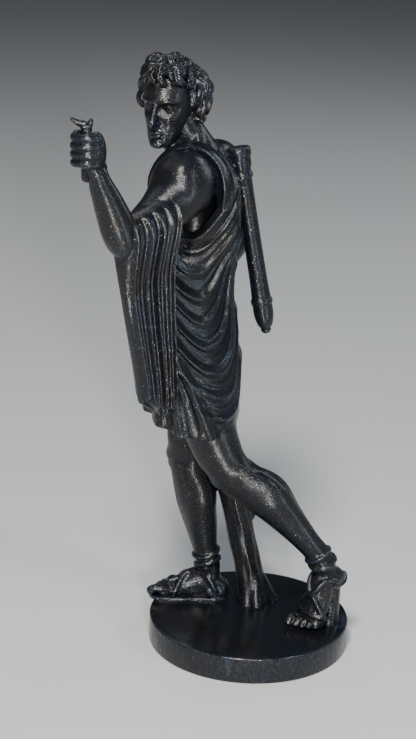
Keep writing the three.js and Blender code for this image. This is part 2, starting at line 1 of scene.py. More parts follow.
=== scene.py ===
# A small printed statue of a young god on a round base, dressed for a close view.
# Modelled in millimetres and scaled to metres at the end. The figure faces -Y, its left side is +X.
import math
import random

import bpy
import numpy as np
from mathutils import Matrix, Vector


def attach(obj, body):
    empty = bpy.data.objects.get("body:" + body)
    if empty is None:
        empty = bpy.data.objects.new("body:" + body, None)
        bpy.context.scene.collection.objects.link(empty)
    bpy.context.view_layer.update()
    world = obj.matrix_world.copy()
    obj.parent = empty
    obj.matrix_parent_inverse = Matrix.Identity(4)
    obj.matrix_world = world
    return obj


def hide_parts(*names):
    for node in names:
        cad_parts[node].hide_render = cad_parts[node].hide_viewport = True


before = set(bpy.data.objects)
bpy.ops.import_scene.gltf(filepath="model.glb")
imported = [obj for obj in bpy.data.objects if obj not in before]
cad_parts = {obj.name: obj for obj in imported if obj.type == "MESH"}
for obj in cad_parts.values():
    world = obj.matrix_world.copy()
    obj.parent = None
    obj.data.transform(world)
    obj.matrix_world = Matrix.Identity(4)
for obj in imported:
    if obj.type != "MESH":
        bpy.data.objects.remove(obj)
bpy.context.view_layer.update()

millimetre = 0.001


# camera
photoView = {
    "azimuth": 100.0,  # round from the front of the statue, towards its left side
    "elevation": 26.15,
    "roll": 2.9,
    "distance": 550.7,  # from the middle of the base's top
    "focalPixels": 1800.0,
    "baseAt": (248.5, 612.8),  # where the middle of the base's top is in the picture
    "picture": (416, 739),
    "sensor": 36.0,
    "nearest": 0.01,  # metres
}


def turnOnto(start, end):
    # the turn that carries one direction onto another
    return start.rotation_difference(end).to_matrix()


def wayFrom(degreesRound, degreesUp):
    # the direction at degrees round from the front and degrees up
    a, e = math.radians(degreesRound), math.radians(degreesUp)
    return Vector((math.sin(a) * math.cos(e), -math.cos(a) * math.cos(e), math.sin(e)))


def placeCamera():
    wide, tall = photoView["picture"]
    roll = math.radians(photoView["roll"])
    back = wayFrom(photoView["azimuth"], photoView["elevation"])
    right = (-back).cross(Vector((0, 0, 1))).normalized()
    up = right.cross(-back)
    rolledRight = right * math.cos(roll) + up * math.sin(roll)
    rolledUp = up * math.cos(roll) - right * math.sin(roll)
    px, py = photoView["baseAt"]
    f = photoView["focalPixels"]
    towardsBase = Vector(((px - wide / 2) / f, -(py - tall / 2) / f, -1)).normalized()
    aimed = Matrix((rolledRight, rolledUp, back)).transposed() @ turnOnto(towardsBase, Vector((0, 0, -1)))
    bpy.ops.object.camera_add()
    camera = bpy.context.object
    camera.name = "photoCamera"
    place = back * photoView["distance"] + Vector((0, 0, body["baseHeight"]))
    camera.matrix_world = Matrix.Translation(place * millimetre) @ aimed.to_4x4()
    camera.data.sensor_width = photoView["sensor"]
    camera.data.lens = f * photoView["sensor"] / max(wide, tall)
    camera.data.clip_start = photoView["nearest"]
    bpy.context.scene.camera = camera


# tools for shaping
def detail(full):
    return full


def smooth(x, low, high):
    t = np.clip((np.asarray(x, float) - low) / (high - low), 0, 1)
    return t * t * (3 - 2 * t)


def hump(x, centre, width):
    return np.exp(-(((x - centre) / width) ** 2))


def unit(v):
    return v / np.maximum(np.linalg.norm(v, axis=-1, keepdims=True), 1e-9)


def sampleRows(rows, share):
    # a smooth curve through equally spaced rows, read at shares of its length
    rows = np.asarray(rows, float)
    last = len(rows) - 1
    place = np.clip(share, 0, 1) * last
    i = np.minimum(place.astype(int), last - 1)
    t = (place - i)[:, None]
    p0, p1, p2, p3 = (rows[np.clip(i + k, 0, last)] for k in (-1, 0, 1, 2))
    v0, v1 = (p2 - p0) / 2, (p3 - p1) / 2
    return (2 * p1 - 2 * p2 + v0 + v1) * t**3 + (-3 * p1 + 3 * p2 - 2 * v0 - v1) * t**2 + v0 * t + p1


def readTable(table, key):
    # a smooth curve through rows of key, value, ..., read at many keys, one array for each value
    table = np.asarray(table, float)
    last = len(table) - 1
    key = np.clip(np.asarray(key, float), table[0, 0], table[last, 0])
    i = np.clip(np.searchsorted(table[:, 0], key, side="right") - 1, 0, last - 1)
    low, high = table[i], table[i + 1]
    under, over = table[np.maximum(i - 1, 0)], table[np.minimum(i + 2, last)]
    span = high[:, :1] - low[:, :1]
    t = (key[:, None] - low[:, :1]) / span
    start = np.where(i[:, None] > 0, (high - under) / (high[:, :1] - under[:, :1]) * span, 0)
    end = np.where(i[:, None] < last - 1, (over - low) / (over[:, :1] - low[:, :1]) * span, 0)
    value = low + (low - high) * (2 * t - 3) * t * t + start * t * (1 - t) ** 2 - end * t * t * (1 - t)
    return value[:, 1:].T


def pointsOf(piece):
    points = np.empty(len(piece.data.vertices) * 3)
    piece.data.vertices.foreach_get("co", points)
    return points.reshape(-1, 3)


def setPoints(piece, points):
    piece.data.vertices.foreach_set("co", np.asarray(points, float).ravel())
    piece.data.update()


def pickOnly(*pieces):
    bpy.ops.object.select_all(action="DESELECT")
    for piece in pieces:
        piece.select_set(True)
    bpy.context.view_layer.objects.active = pieces[0]


def newBall(name, sides, rings):
    bpy.ops.mesh.primitive_uv_sphere_add(segments=sides, ring_count=rings, radius=1)
    piece = bpy.context.object
    piece.name = name
    points = pointsOf(piece)
    down = np.arccos(np.clip(points[:, 2], -1, 1)) / math.pi
    around = np.arctan2(points[:, 1], points[:, 0])
    return piece, points, down, around


def wayAlong(rows, share, step):
    # the direction in which stations run, at shares of their length
    return unit((sampleRows(rows, share + step) - sampleRows(rows, share - step))[:, :3])


def limbFrame(stations, front, share):
    here = sampleRows(stations, share)
    way = wayAlong(stations, share, 0.012)
    side = unit(np.cross(way, np.asarray(front, float)))
    deep = unit(np.cross(side, way))
    return here, side, deep


def onLimb(stations, front, share, degrees, lift):
    # places on the skin of a limb: share of its length and angle round it, 90 at its front
    angle = np.radians(degrees)
    here, side, deep = limbFrame(stations, front, share)
    across = np.cos(angle) * (here[:, 3] + lift)
    ahead = np.sin(angle) * (here[:, 4] + lift)
    return here[:, :3] + (side * across[:, None] + deep * ahead[:, None])


def limb(name, stations, front, sides, rings, swell=(), relief=None):
    # a ball drawn out along stations of x, y, z, half width, half depth
    # swell: share, degrees round, spread of share, spread of degrees, how far out
    piece, points, share, angle = newBall(name, sides, rings)
    here, side, deep = limbFrame(stations, front, share)
    ring = np.minimum(1, np.sqrt(np.maximum(0, share * (1 - share))) * 4)  # closes both ends
    out = np.zeros(len(points))
    for at, degrees, long, wide, rise in swell:
        gap = np.degrees(np.angle(np.exp(1j * (angle - math.radians(degrees)))))
        out += rise * hump(share, at, long) * np.exp(-((gap / wide) ** 2))
    if relief:
        out += relief(share, angle)
    across = np.cos(angle) * (here[:, 3] + out) * ring
    ahead = np.sin(angle) * (here[:, 4] + out) * ring
    setPoints(piece, here[:, :3] + side * across[:, None] + deep * ahead[:, None])
    return piece


def blob(name, centre, radii, turns=(0, 0, 0), sides=20, rings=14):
    # a ball stretched, then turned round X, Y and Z by degrees
    piece, points, _, _ = newBall(name, sides, rings)
    x, y, z = (Matrix.Rotation(math.radians(turn), 3, axis) for turn, axis in zip(turns, "XYZ"))
    setPoints(piece, (points * np.array(radii)) @ np.array(z @ y @ x).T + np.array(centre))
    return piece


def strap(name, stations, front, path, thick, wide, lift, steps=40):
    # a flat strap on the skin of a limb, through places of share and degrees
    places = sampleRows(np.array(path, float), np.linspace(0, 1, steps))
    points = onLimb(stations, front, places[:, 0], places[:, 1], lift)
    axis = wayAlong(stations, np.array([np.mean(places[:, 0])]), 0.03)[0]
    rows = np.column_stack([points, np.full(steps, thick), np.full(steps, wide)])
    return limb(name, rows, axis, 10, steps * 2)


def finishWith(piece, kind, **settings):
    pickOnly(piece)
    change = piece.modifiers.new(kind.title(), kind)
    for key, value in settings.items():
        setattr(change, key, value)
    bpy.ops.object.modifier_apply(modifier=change.name)


def triangles(piece):
    return sum(len(face.vertices) - 2 for face in piece.data.polygons)


skins = {  # size of the voxels in mm, most triangles
    "head": (0.16, 65000),
    "figure": (0.24, 55000),
    "clothes": (0.26, 75000),
}


def fuse(name, pieces):
    # melts overlapping forms into one skin
    pickOnly(*pieces)
    bpy.ops.object.join()
    piece = bpy.context.object
    piece.name = piece.data.name = name
    voxel, _ = skins[name]
    finishWith(piece, "REMESH", mode="VOXEL", voxel_size=voxel * detail(1))
    finishWith(piece, "SMOOTH", factor=0.5, iterations=1)
    return piece


def thin(piece):
    _, most = skins[piece.name]
    count = triangles(piece)
    if count > most:
        ratio = most / count
        finishWith(piece, "DECIMATE", decimate_type="COLLAPSE", ratio=ratio, use_collapse_triangulate=True)
    print(piece.name, count, "triangles thinned to", triangles(piece))


# the body
body = {
    "baseRadius": 30.0,
    "baseHeight": 8.0,
    "baseEdge": 0.5,
    "baseSides": 192,
    "sink": 0.3,
    "soleThickness": 0.9,
    "waist": 112.0,
    "head": (2.6, -28.4, 161.6),
    "leftWrist": (48, -36.4, 150.5),
    "rightWrist": (-18.2, -22, 103),
}
ground = body["baseHeight"] - body["sink"]

rightLeg = [
    (-6, -19, 95, 9.5, 10),
    (-6, -19.4, 80, 8.4, 8.6),
    (-5.2, -20.6, 66, 6.8, 7.2),
    (-4.7, -21.3, 56, 5.3, 5.9),
    (-4.6, -20.8, 50, 4.8, 5.4),
    (-5, -18.6, 42, 5.1, 5.8),
    (-5.8, -17, 34, 4.4, 5.0),
    (-6.6, -15.4, 24, 3.1, 3.6),
    (-7, -14.2, 17, 3.0, 3.4),
    (-7, -13.8, 11, 3, 3),
]
rightLegFront = (0, -1, 0.1)
leftLeg = [
    (8.6, -18.5, 94, 8.8, 8.8),
    (9.3, -16.4, 80, 8.2, 8.4),
    (9.3, -11.2, 67, 6.8, 7.2),
    (9.4, -6.6, 58.8, 5.5, 6.1),
    (9, -1.2, 54.2, 5.2, 6.0),
    (8, 5.4, 49.8, 5.5, 6.3),
    (6.6, 11.2, 43.4, 4.5, 4.9),
    (4.8, 17.6, 35.6, 3.2, 3.7),
    (2.6, 21.6, 29.6, 3.1, 3.4),
    (1, 22.8, 24.6, 3.2, 3.4),
    (1.6, 21.8, 19, 3, 3.2),
]
leftLegFront = (0, -0.6, -0.8)
rightFootRows = [
    (-7.7, -8, 11.4, 2.4, 2.4),
    (-7.6, -10.6, 11.6, 3.2, 3.2),
    (-7.2, -14.9, 12.8, 3.3, 4.4),
    (-6.7, -18.9, 12.4, 3.6, 3.9),
    (-6.2, -22.9, 11.2, 4.4, 2.8),
    (-5.8, -26.9, 10.3, 4.8, 2.0),
    (-5.6, -29, 10.0, 4.6, 1.5),
]
leftFootRows = [
    (-2.8, 26.4, 25.4, 2.4, 2.6),
    (-1.8, 25.4, 24.2, 3.5, 3.8),
    (1.2, 22.4, 22, 3.5, 4.3),
    (2.0, 21.6, 17.6, 3.8, 3.9),
    (3.2, 20.2, 13.6, 4.5, 3.0),
    (4.4, 18.8, 11.0, 4.8, 2.2),
    (5.2, 18, 10.0, 4.4, 1.7),
]
leftFootFront = (0.75, -0.5, 0.45)


def legs():
    return [
        limb("rightLeg", rightLeg, rightLegFront, 64, 150, [
            (0.345, 90, 0.03, 30, 1.1), (0.395, 88, 0.02, 22, 0.7),  # kneecap and the tendon under it
            (0.265, 132, 0.05, 30, 0.9), (0.25, 48, 0.055, 30, 0.7),  # muscles over the knee
            (0.36, 180, 0.03, 24, -0.5), (0.36, 0, 0.03, 24, -0.4), (0.37, 270, 0.05, 40, -0.5),
            (0.53, 232, 0.09, 34, 1.0), (0.51, 305, 0.085, 32, 0.9), (0.62, 270, 0.05, 24, -0.4),  # calf
            (0.6, 104, 0.16, 13, 0.5), (0.6, 75, 0.14, 16, -0.2),  # shin
            (0.845, 180, 0.022, 20, 1.0), (0.865, 0, 0.022, 20, 1.0), (0.83, 270, 0.05, 22, 0.4),  # ankle
        ]),
        limb("leftLeg", leftLeg, leftLegFront, 64, 160, [
            (0.325, 92, 0.028, 30, 1.2), (0.375, 92, 0.02, 22, 0.7),
            (0.24, 60, 0.05, 30, 0.8), (0.24, 128, 0.05, 28, 0.8),
            (0.35, 0, 0.03, 26, -0.5), (0.35, 180, 0.03, 24, -0.5), (0.38, 270, 0.03, 32, -0.7),
            (0.37, 232, 0.035, 13, 0.5), (0.37, 308, 0.035, 13, 0.5),  # tendons at the hollow of the knee
            (0.505, 236, 0.075, 32, 0.7), (0.495, 306, 0.08, 30, 0.8), (0.51, 270, 0.07, 9, -0.3),
            (0.6, 205, 0.06, 14, -0.35), (0.56, 92, 0.12, 14, 0.5),
            (0.815, 180, 0.02, 20, 1.0), (0.83, 0, 0.02, 20, 1.0), (0.76, 270, 0.05, 20, 0.4),
        ]),
    ]


toeRows = [  # place across the foot, half width, length and set back of the root
    (-3.2, 1.5, 4.4, 0.0),
    (-0.85, 0.92, 3.3, 0.125),
    (0.95, 0.9, 2.9, 0.5),
    (2.7, 0.88, 2.4, 1.125),
    (4.35, 0.85, 1.9, 2.0),
]
toeStations = [  # how far ahead: fixed, and as a share of the toe's length; lift; share of the width
    (-5, 0, 1.3, 0.7),
    (-2.2, 0, 1.25, 0.9),
    (0.2, 0, 0.9, 0.88),
    (0, 0.5, 1.05, 1.0),
    (0, 0.85, 0.1, 1.08),
    (0, 1, -0.3, 0.8),
]


def toes(name, at, ahead, across, up):
    at, ahead, across, up = (np.array(v, float) for v in (at, ahead, across, up))
    nailTurn = math.degrees(math.atan2(ahead[1], ahead[0])) + 90
    made = []
    for k, (place, width, length, setBack) in enumerate(toeRows):
        root = at + across * place
        high = width * 0.85
        rows = []
        for fixed, part, lift, share in toeStations:
            middle = root + ahead * (fixed + part * length - setBack) + up * lift
            rows.append((*middle, width * share, high * share))
        made.append(limb(f"{name}{k}", rows, up, 20, 20))
        nail = root + ahead * (length * 0.86 - setBack) + up * (high * 0.9)
        size = (width * 0.55, width * 0.5, width * 0.22)
        made.append(blob(f"{name}Nail{k}", nail, size, (0, 0, nailTurn), 12, 8))
    return made


sandals = {
    "right": {
        "bands": (0.83, 0.012, 0.785, 0.008),  # share of the leg and sway, low band and high band
        "start": 60,  # degrees round the leg
        "cross": (0.2, 0.34, 0.5, 0.64, 0.72),  # shares of the foot
        "toeBand": (0.7, 0.76, 0.78, 0.76, 0.7),
        "toeBandWidth": 0.95,
    },
    "left": {
        "bands": (0.81, 0.01, 0.765, 0.008),
        "start": 240,
        "cross": (0.22, 0.34, 0.46, 0.6, 0.72),
        "toeBand": (0.66, 0.72, 0.75, 0.72, 0.66),
        "toeBandWidth": 0.85,
    },
}


def sandal(side, leg, legFront, foot, footFront):
    look = sandals[side]
    low, lowSway, high, highSway = look["bands"]
    places = [(k * math.pi / 6, look["start"] + 30 * k) for k in range(13)]
    lowPath = [(low + lowSway * math.cos(turn), degrees) for turn, degrees in places]
    highPath = [(high + highSway * math.sin(turn), degrees) for turn, degrees in places]
    crossA = list(zip(look["cross"], (185, 135, 92, 45, -5)))
    crossB = list(zip(look["cross"], (-5, 45, 88, 135, 185)))
    toeBand = list(zip(look["toeBand"], (190, 140, 90, 40, -10)))
    heelBand = [(0.3, 190), (0.2, 225), (0.06, 270), (0.2, 315), (0.3, 350)]
    return [
        strap(f"{side}BandLow", leg, legFront, lowPath, 0.75, 0.85, 0.35, 60),
        strap(f"{side}BandHigh", leg, legFront, highPath, 0.65, 0.7, 0.35, 60),
        strap(f"{side}CrossA", foot, footFront, crossA, 0.7, 0.8, 0.3),
        strap(f"{side}CrossB", foot, footFront, crossB, 0.7, 0.8, 0.3),
        strap(f"{side}ToeBand", foot, footFront, toeBand, 0.6, look["toeBandWidth"], 0.25),
        strap(f"{side}HeelBand", foot, footFront, heelBand, 0.6, 0.95, 0.25),
    ]


soleRows = [  # along from the heel, then its inner and outer edge
    (-21.6, 0.4, 0.6),
    (-20.6, -3.4, 4.0),
    (-17, -4.75, 5.0),
    (-12, -4.35, 4.6),
    (-6, -2.95, 3.4),
    (0.5, -3.2, 3.1),
    (2.2, -2.3, 2.3),
    (2.9, -0.3, 0.3),
]
soleLook = {"middle": -9.35, "halfLength": 12.25, "turn": 6.0, "heelAt": (-7.4, -11.4)}


def rightSole():
    bpy.ops.mesh.primitive_cylinder_add(vertices=96, radius=1, depth=1)
    slab = bpy.context.object
    slab.name = "rightSole"
    points = pointsOf(slab)
    along = soleLook["middle"] - soleLook["halfLength"] * points[:, 1]
    low, high = readTable(soleRows, along)
    across = np.where(points[:, 0] > 0, high, low) * np.minimum(1, np.abs(points[:, 0]) ** 0.5 * 1.2)
    turn = math.radians(soleLook["turn"])
    x = across * math.cos(turn) - along * math.sin(turn) + soleLook["heelAt"][0]
    y = across * math.sin(turn) + along * math.cos(turn) + soleLook["heelAt"][1]
    z = ground + (points[:, 2] + 0.5) * (body["soleThickness"] + body["sink"])
    setPoints(slab, np.column_stack([x, y, z]))
    return slab


def rightFoot():
    up = (0, 0, 1)
    return [
        rightSole(),
        limb("rightFoot", rightFootRows, up, 48, 70, [
            (0.66, 62, 0.2, 8, 0.5), (0.7, 82, 0.2, 7, 0.5),  # tendons to the toes
            (0.72, 102, 0.2, 7, 0.48), (0.74, 122, 0.2, 7, 0.45),
            (0.5, 190, 0.12, 20, -0.5),  # arch
        ]),
        *toes("rightToe", (-5.5, -28, 10.1), (0.1, -0.99, -0.02), (-0.97, -0.1, 0), up),
        *sandal("right", rightLeg, rightLegFront, rightFootRows, up),
        limb("rightThong", [
            (-3.9, -27.6, 12.4, 0.35, 0.45),
            (-4.3, -25.6, 13.6, 0.4, 0.5),
            (-5.2, -22.4, 14.6, 0.45, 0.6),
            (-6, -19.4, 16.2, 0.45, 0.6),
        ], up, 10, 20),
    ]


def leftFoot():
    up = (0, 0, 1)
    return [
        limb("leftFoot", leftFootRows, leftFootFront, 48, 70, [
            (0.66, 58, 0.22, 8, 0.55), (0.7, 80, 0.22, 7, 0.55),
            (0.72, 102, 0.22, 7, 0.5), (0.74, 124, 0.2, 7, 0.5),
            (0.14, 270, 0.08, 40, 0.4),  # heel
        ]),
        limb("heelWedge", [
            (-2.2, 25, 24, 2.2, 2.4),
            (-2.2, 25, 19, 2.2, 2.6),
            (-1.8, 24.6, 13, 2.6, 3.0),
            (-1.4, 24.2, 7.8, 3.2, 3.6),
            (-1.4, 24, 6.8, 3.2, 3.6),
        ], (1, 0, 0), 32, 40),
        *toes("leftToe", (5, 17.8, 9.7), (0.78, -0.62, -0.05), (0.62, 0.78, 0), up),
        blob("leftBall", (3.0, 20.0, 8.9), (3.6, 3.0, 1.4), (0, 0, 50)),
        *sandal("left", leftLeg, leftLegFront, leftFootRows, leftFootFront),
    ]


trunkRows = [
    (-10, -0.4, 6.8, 6.4, 6),
    (-10, -0.6, 9.5, 5.8, 5.4),
    (-10, -1.4, 14, 4.6, 4.3),
    (-9.8, -4.4, 26, 4.2, 4.0),
    (-9.4, -7.8, 40, 4.2, 4.1),
    (-9, -11, 54, 4.4, 4.3),
    (-8.8, -13.2, 70, 4.4, 4.4),
    (-8.6, -14, 84, 4, 4),
]
rootRows = [  # distance from the trunk's middle, height, half width, half depth
    (2.0, 17, 1.0, 1.0),
    (2.9, 14, 1.5, 1.4),
    (4.6, 10.5, 1.9, 1.6),
    (6.2, 8.6, 1.6, 1.3),
]
rootTurns = (20, 95, 160, 235)  # degrees


def bark(share, angle):
    sway = 0.5 * np.sin(9 * share) + 0.25 * np.sin(23 * share + 1)
    rings = 0.08 * np.sin(40 * share + 2 * np.cos(3 * angle))
    return 0.16 * np.cos(5 * angle + sway * 2) + 0.1 * np.cos(11 * angle - sway * 3 + 1) + rings


def stump():
    made = [limb("trunk", trunkRows, (0, 1, 0), 72, 160, (), bark)]
    middleX, middleY = trunkRows[0][:2]
    for k, degrees in enumerate(rootTurns):
        way = np.array([math.cos(math.radians(degrees)), math.sin(math.radians(degrees))])
        end = (7.4 - 0.5 * k, 7.7, 1.1, 0.9)
        rows = [(middleX + way[0] * d, middleY + way[1] * d, z, w, h) for d, z, w, h in (*rootRows, end)]
        made.append(limb(f"root{k}", rows, (0.3, 0.2, 1), 20, 30))
    knot = [
        (-10, -5, 32, 1.8, 1.8),
        (-12.6, -3.6, 34, 1.7, 1.7),
        (-14, -2.8, 35.5, 1.55, 1.55),
        (-14.4, -2.6, 36, 1.4, 1.4),
    ]
    made.append(limb("knot", knot, (0, 1, 0), 20, 24))
    return made


torsoRows = [
    (1.6, -18.5, 97, 12, 9),
    (1.4, -18.8, 104, 11.5, 8.6),
    (1, -19, 112, 10.8, 8),
    (0.6, -19.2, 121, 12.8, 9.2),
    (0.3, -19.5, 130, 15, 10.4),
    (0, -19.6, 138, 16.4, 9.6),
    (0.2, -19.6, 145.5, 11.5, 6.6),
    (0.8, -21.2, 150, 5.4, 5.2),
    (1.6, -24.2, 155, 4.6, 4.8),
    (2.2, -27, 161, 4.4, 4.6),
]


def torso():
    return [
        limb("torso", torsoRows, (0, -1, 0), 64, 90),
        limb("neckTendonRight", [
            (-1.2, -33.2, 158, 0.8, 0.8),
            (0.2, -31.6, 153, 1.1, 1.1),
            (1.4, -29, 148.6, 1.1, 1.1),
            (1.6, -27.2, 145.4, 0.9, 0.9),
        ], (1, 0, 0), 16, 24),
        limb("neckTendonLeft", [
            (3.6, -23.2, 160, 0.7, 0.7),
            (4.0, -24.6, 154, 0.9, 0.9),
            (3.9, -26, 149.6, 0.9, 0.9),
            (3.2, -26.8, 146, 0.8, 0.8),
        ], (1, 0, 0), 16, 24),
        limb("trapeziusLeft", [
            (2.2, -22.4, 159, 1.2, 1.4),
            (3.4, -20.2, 153, 2.0, 2.0),
            (7.4, -18.6, 147.6, 2.6, 2.2),
            (12.6, -18, 144.6, 2.2, 2.0),
        ], (0, 1, 0.4), 20, 24),
    ]


leftArmRows = [
    (3, -20, 136, 5, 5),
    (10.5, -20, 140.2, 7.6, 7.4),
    (18.5, -20.6, 142.6, 9.2, 9),
    (24, -22.6, 138.8, 7.4, 7.4),
    (31, -25.8, 134.6, 5.5, 5.6),
    (37, -28.6, 131.6, 4.7, 4.8),
    (41.2, -30.6, 131.2, 4.6, 4.6),
    (43.2, -32.2, 136, 4.7, 4.7),
    (45.6, -34.4, 143, 3.9, 3.9),
    (47.6, -36.1, 149, 2.9, 2.7),
    (48.2, -36.8, 153, 2.9, 2.6),
]
rightArmRows = [
    (-3, -19.8, 136, 5, 5),
    (-11, -19.6, 140.2, 7.2, 7.0),
    (-17.6, -19.0, 140.0, 8.0, 7.8),
    (-22, -17.4, 134.6, 6.6, 6.6),
    (-25.4, -15.4, 127.4, 5.3, 5.4),
    (-28.6, -13.6, 121.6, 4.5, 4.6),
    (-29.4, -13.6, 118.6, 4.5, 4.5),
    (-27, -15.6, 114.4, 4.5, 4.5),
    (-22.8, -19, 108.6, 3.7, 3.7),
    (-19, -21.6, 104, 2.8, 2.9),
    (-17.6, -23, 102, 2.5, 2.9),
]


def arms():
    return [
        limb("leftArm", leftArmRows, (0, -1, 0.3), 56, 150, [
            (0.25, 200, 0.06, 40, 0.5), (0.33, 235, 0.03, 26, -0.35), (0.33, 140, 0.03, 22, -0.3),  # shoulder
            (0.42, 95, 0.05, 34, 0.7), (0.42, 262, 0.06, 32, 0.7), (0.42, 180, 0.06, 14, -0.35),
            (0.595, 330, 0.025, 26, 0.6), (0.68, 150, 0.05, 34, 0.6), (0.68, 30, 0.05, 30, 0.4),  # elbow
            (0.87, 60, 0.03, 14, 0.25), (0.87, 110, 0.03, 12, 0.25), (0.905, 200, 0.015, 22, 0.4),  # wrist
        ]),
        limb("rightArm", rightArmRows, (0, -1, 0.2), 56, 150, [
            (0.22, 0, 0.06, 40, 0.5), (0.32, 30, 0.03, 24, -0.3),
            (0.42, 92, 0.05, 34, 0.8), (0.4, 268, 0.06, 34, 0.7),
            (0.59, 0, 0.025, 26, 0.5), (0.68, 60, 0.05, 32, 0.5), (0.7, 220, 0.05, 30, 0.4),
            (0.9, 0, 0.015, 22, 0.4),
        ]),
    ]


def moved(origin, way):
    return [start + step for start, step in zip(origin, way)]


def shifted(rows, origin):
    return [(origin[0] + x, origin[1] + y, origin[2] + z, wide, deep) for x, y, z, wide, deep in rows]


handRows = {  # x, y, z from the wrist, half width, half depth
    "thumb": [
        (-0.6, 0.8, 0.4, 1.9, 1.9),
        (-1.8, -0.4, 2.4, 1.8, 1.75),
        (-2.8, -2.4, 6.4, 1.5, 1.45),
        (-2.2, -4.4, 8.4, 1.55, 1.4),
        (-0.9, -5.6, 9.4, 1.4, 1.2),
        (0.6, -6.3, 9.9, 1.05, 0.9),
    ],
    "stub": [  # what is left of the thing that the fist holds
        (-0.5, -3.1, -2.2, 1.1, 1.1),
        (-0.4, -3.1, -1.4, 1.4, 1.4),
        (0.1, -3.1, 5, 1.45, 1.45),
        (0.5, -3.1, 11.2, 1.5, 1.5),
        (0.6, -3.2, 12.6, 1.35, 1.3),
    ],
    "stubHook": [
        (0.4, -2.6, 11.4, 1.25, 1.25),
        (0.6, -3.9, 12.5, 1.15, 1.0),
        (0.9, -5.4, 12.9, 1.0, 0.8),
        (1.2, -6.5, 13.6, 0.75, 0.6),
        (1.35, -6.9, 14.2, 0.35, 0.35),
    ],
    "stubChip": [(0.9, -2.3, 12, 0.9, 0.9), (1.0, -1.8, 13.4, 0.75, 0.7), (1.1, -1.5, 14.2, 0.4, 0.4)],
    "rightThumb": [
        (1.2, 0.4, 0.2, 1.5, 1.5),
        (2.4, -0.4, 2.0, 1.35, 1.3),
        (3.8, -1.6, 3.4, 1.15, 1.1),
        (4.8, -2.6, 4.2, 0.9, 0.85),
    ],
}


leftFingerRows = [  # x, y, z over the finger's own height, half width, half depth
    (1.6, 1.2, 0, 1.1, 1.1),
    (2.9, 0.2, 0, 1.22, 1.2),
    (3.9, -1.9, 0.1, 1.34, 1.3),
    (3.7, -3.7, 0.05, 1.14, 1.14),
    (2.8, -5.2, 0, 1.3, 1.28),
    (1.3, -6.0, -0.05, 1.12, 1.12),
    (-0.4, -5.7, -0.1, 1.18, 1.16),
    (-1.6, -4.4, -0.2, 1.05, 1.05),
    (-1.8, -3.4, -0.2, 0.85, 0.85),
]
fingerSizes = (0.9, 0.98, 1.02, 0.98)


def leftHand():
    wrist = body["leftWrist"]
    made = []
    for k, size in enumerate(fingerSizes):
        high = 2.8 + 2.2 * k
        rows = [(x, y, high + z, wide * size, deep * size) for x, y, z, wide, deep in leftFingerRows]
        made.append(limb(f"finger{k}", shifted(rows, wrist), (0, 0, 1), 20, 44))
    return [
        *made,
        limb("thumb", shifted(handRows["thumb"], wrist), (1, 0, 0), 20, 40),
        limb("stub", shifted(handRows["stub"], wrist), (0, 1, 0), 24, 30),
        limb("stubHook", shifted(handRows["stubHook"], wrist), (0, 0, 1), 16, 30),
        limb("stubChip", shifted(handRows["stubChip"], wrist), (0, 1, 0), 12, 16),
        blob("leftPalm", moved(wrist, (0.7, -0.2, 5.4)), (3.2, 2.5, 5.6), (0, 4, 0), 32, 24),
        blob("leftPalmHeel", moved(wrist, (0.2, -0.8, 1.2)), (2.7, 2.3, 2.6), (0, 0, 0), 24, 18),
    ]


rightFingerRows = [  # x, y and its step to the next finger, z and its step, half width, half depth
    (0.0, -0.6, 0.2, 0.2, -1.6, 1.1, 1.1),
    (0.6, -2.0, 0.2, 0.4, -1.8, 1.25, 1.2),
    (1.5, -4.2, 0.25, 0.1, -2.1, 1.1, 1.1),
    (2.3, -6.2, 0.3, -0.4, -2.3, 1.18, 1.14),
    (3.5, -7.8, 0.45, -0.9, -2.35, 1.02, 1.0),
    (4.4, -8.8, 0.6, -1.2, -2.4, 0.95, 0.92),
]


def rightHand():
    wrist = body["rightWrist"]
    made = []
    for k in range(4):
        rows = []
        for x, y, stepY, z, stepZ, wide, deep in rightFingerRows:
            rows.append((x, y + stepY * k, z + stepZ * k, wide, deep))
        made.append(limb(f"rightFinger{k}", shifted(rows, wrist), (0, 0, 1), 18, 34))
    return [
        *made,
        blob("rightPalm", moved(wrist, (0.6, -1.8, -2.2)), (1.9, 4.0, 4.3), (0, 0, -20), 28, 20),
        limb("rightThumb", shifted(handRows["rightThumb"], wrist), (1, 0, 0), 18, 24),
    ]


# the head
headPose = {"turn": 74.0, "nod": 6.0, "halfHeight": 11.0}
headRows = [  # height, half width, reach of the face, reach of the back
    (-11, 0.6, 6.6, -5.4),
    (-10.4, 2.9, 8.3, -3.4),
    (-8.6, 4.3, 8.8, 1),
    (-6, 5.4, 8.7, 4.4),
    (-3, 6.3, 8.6, 6.8),
    (0, 7.0, 8.4, 8.6),
    (3, 7.3, 8.7, 9.5),
    (6, 7.1, 7.9, 9.5),
    (9, 5.4, 5.8, 7.2),
    (10.6, 2.6, 3.0, 3.6),
    (11, 0.3, 0.8, 0.8),
]
faceForms = [  # middle to the side, height, half width, half height, how far out
    (0, 2.6, 1.2, 1.2, 0.35),
    (2.9, 2.5, 2.2, 0.75, 0.55),
    (3.1, 0.3, 1.75, 1.35, -1.25),
    (1.3, 0.7, 0.8, 1.3, -0.35),
    (4.3, -2.0, 1.9, 1.6, 0.45),
    (2.3, -4.6, 0.9, 1.6, -0.25),
    (0, -6.6, 2.4, 1.5, 0.35),
    (0, -8.25, 1.7, 0.45, -0.35),
    (0, -9.7, 1.9, 1.1, 0.7),
    (3.6, -8.6, 1.4, 1.4, 0.2),
    (0, 6.2, 3.0, 2.0, 0.25),
]


def headPlace():
    turn = Matrix.Rotation(math.radians(headPose["turn"]), 4, "Z")
    nod = Matrix.Rotation(math.radians(headPose["nod"]), 4, "X")
    return np.array(Matrix.Translation(body["head"]) @ (turn @ nod))


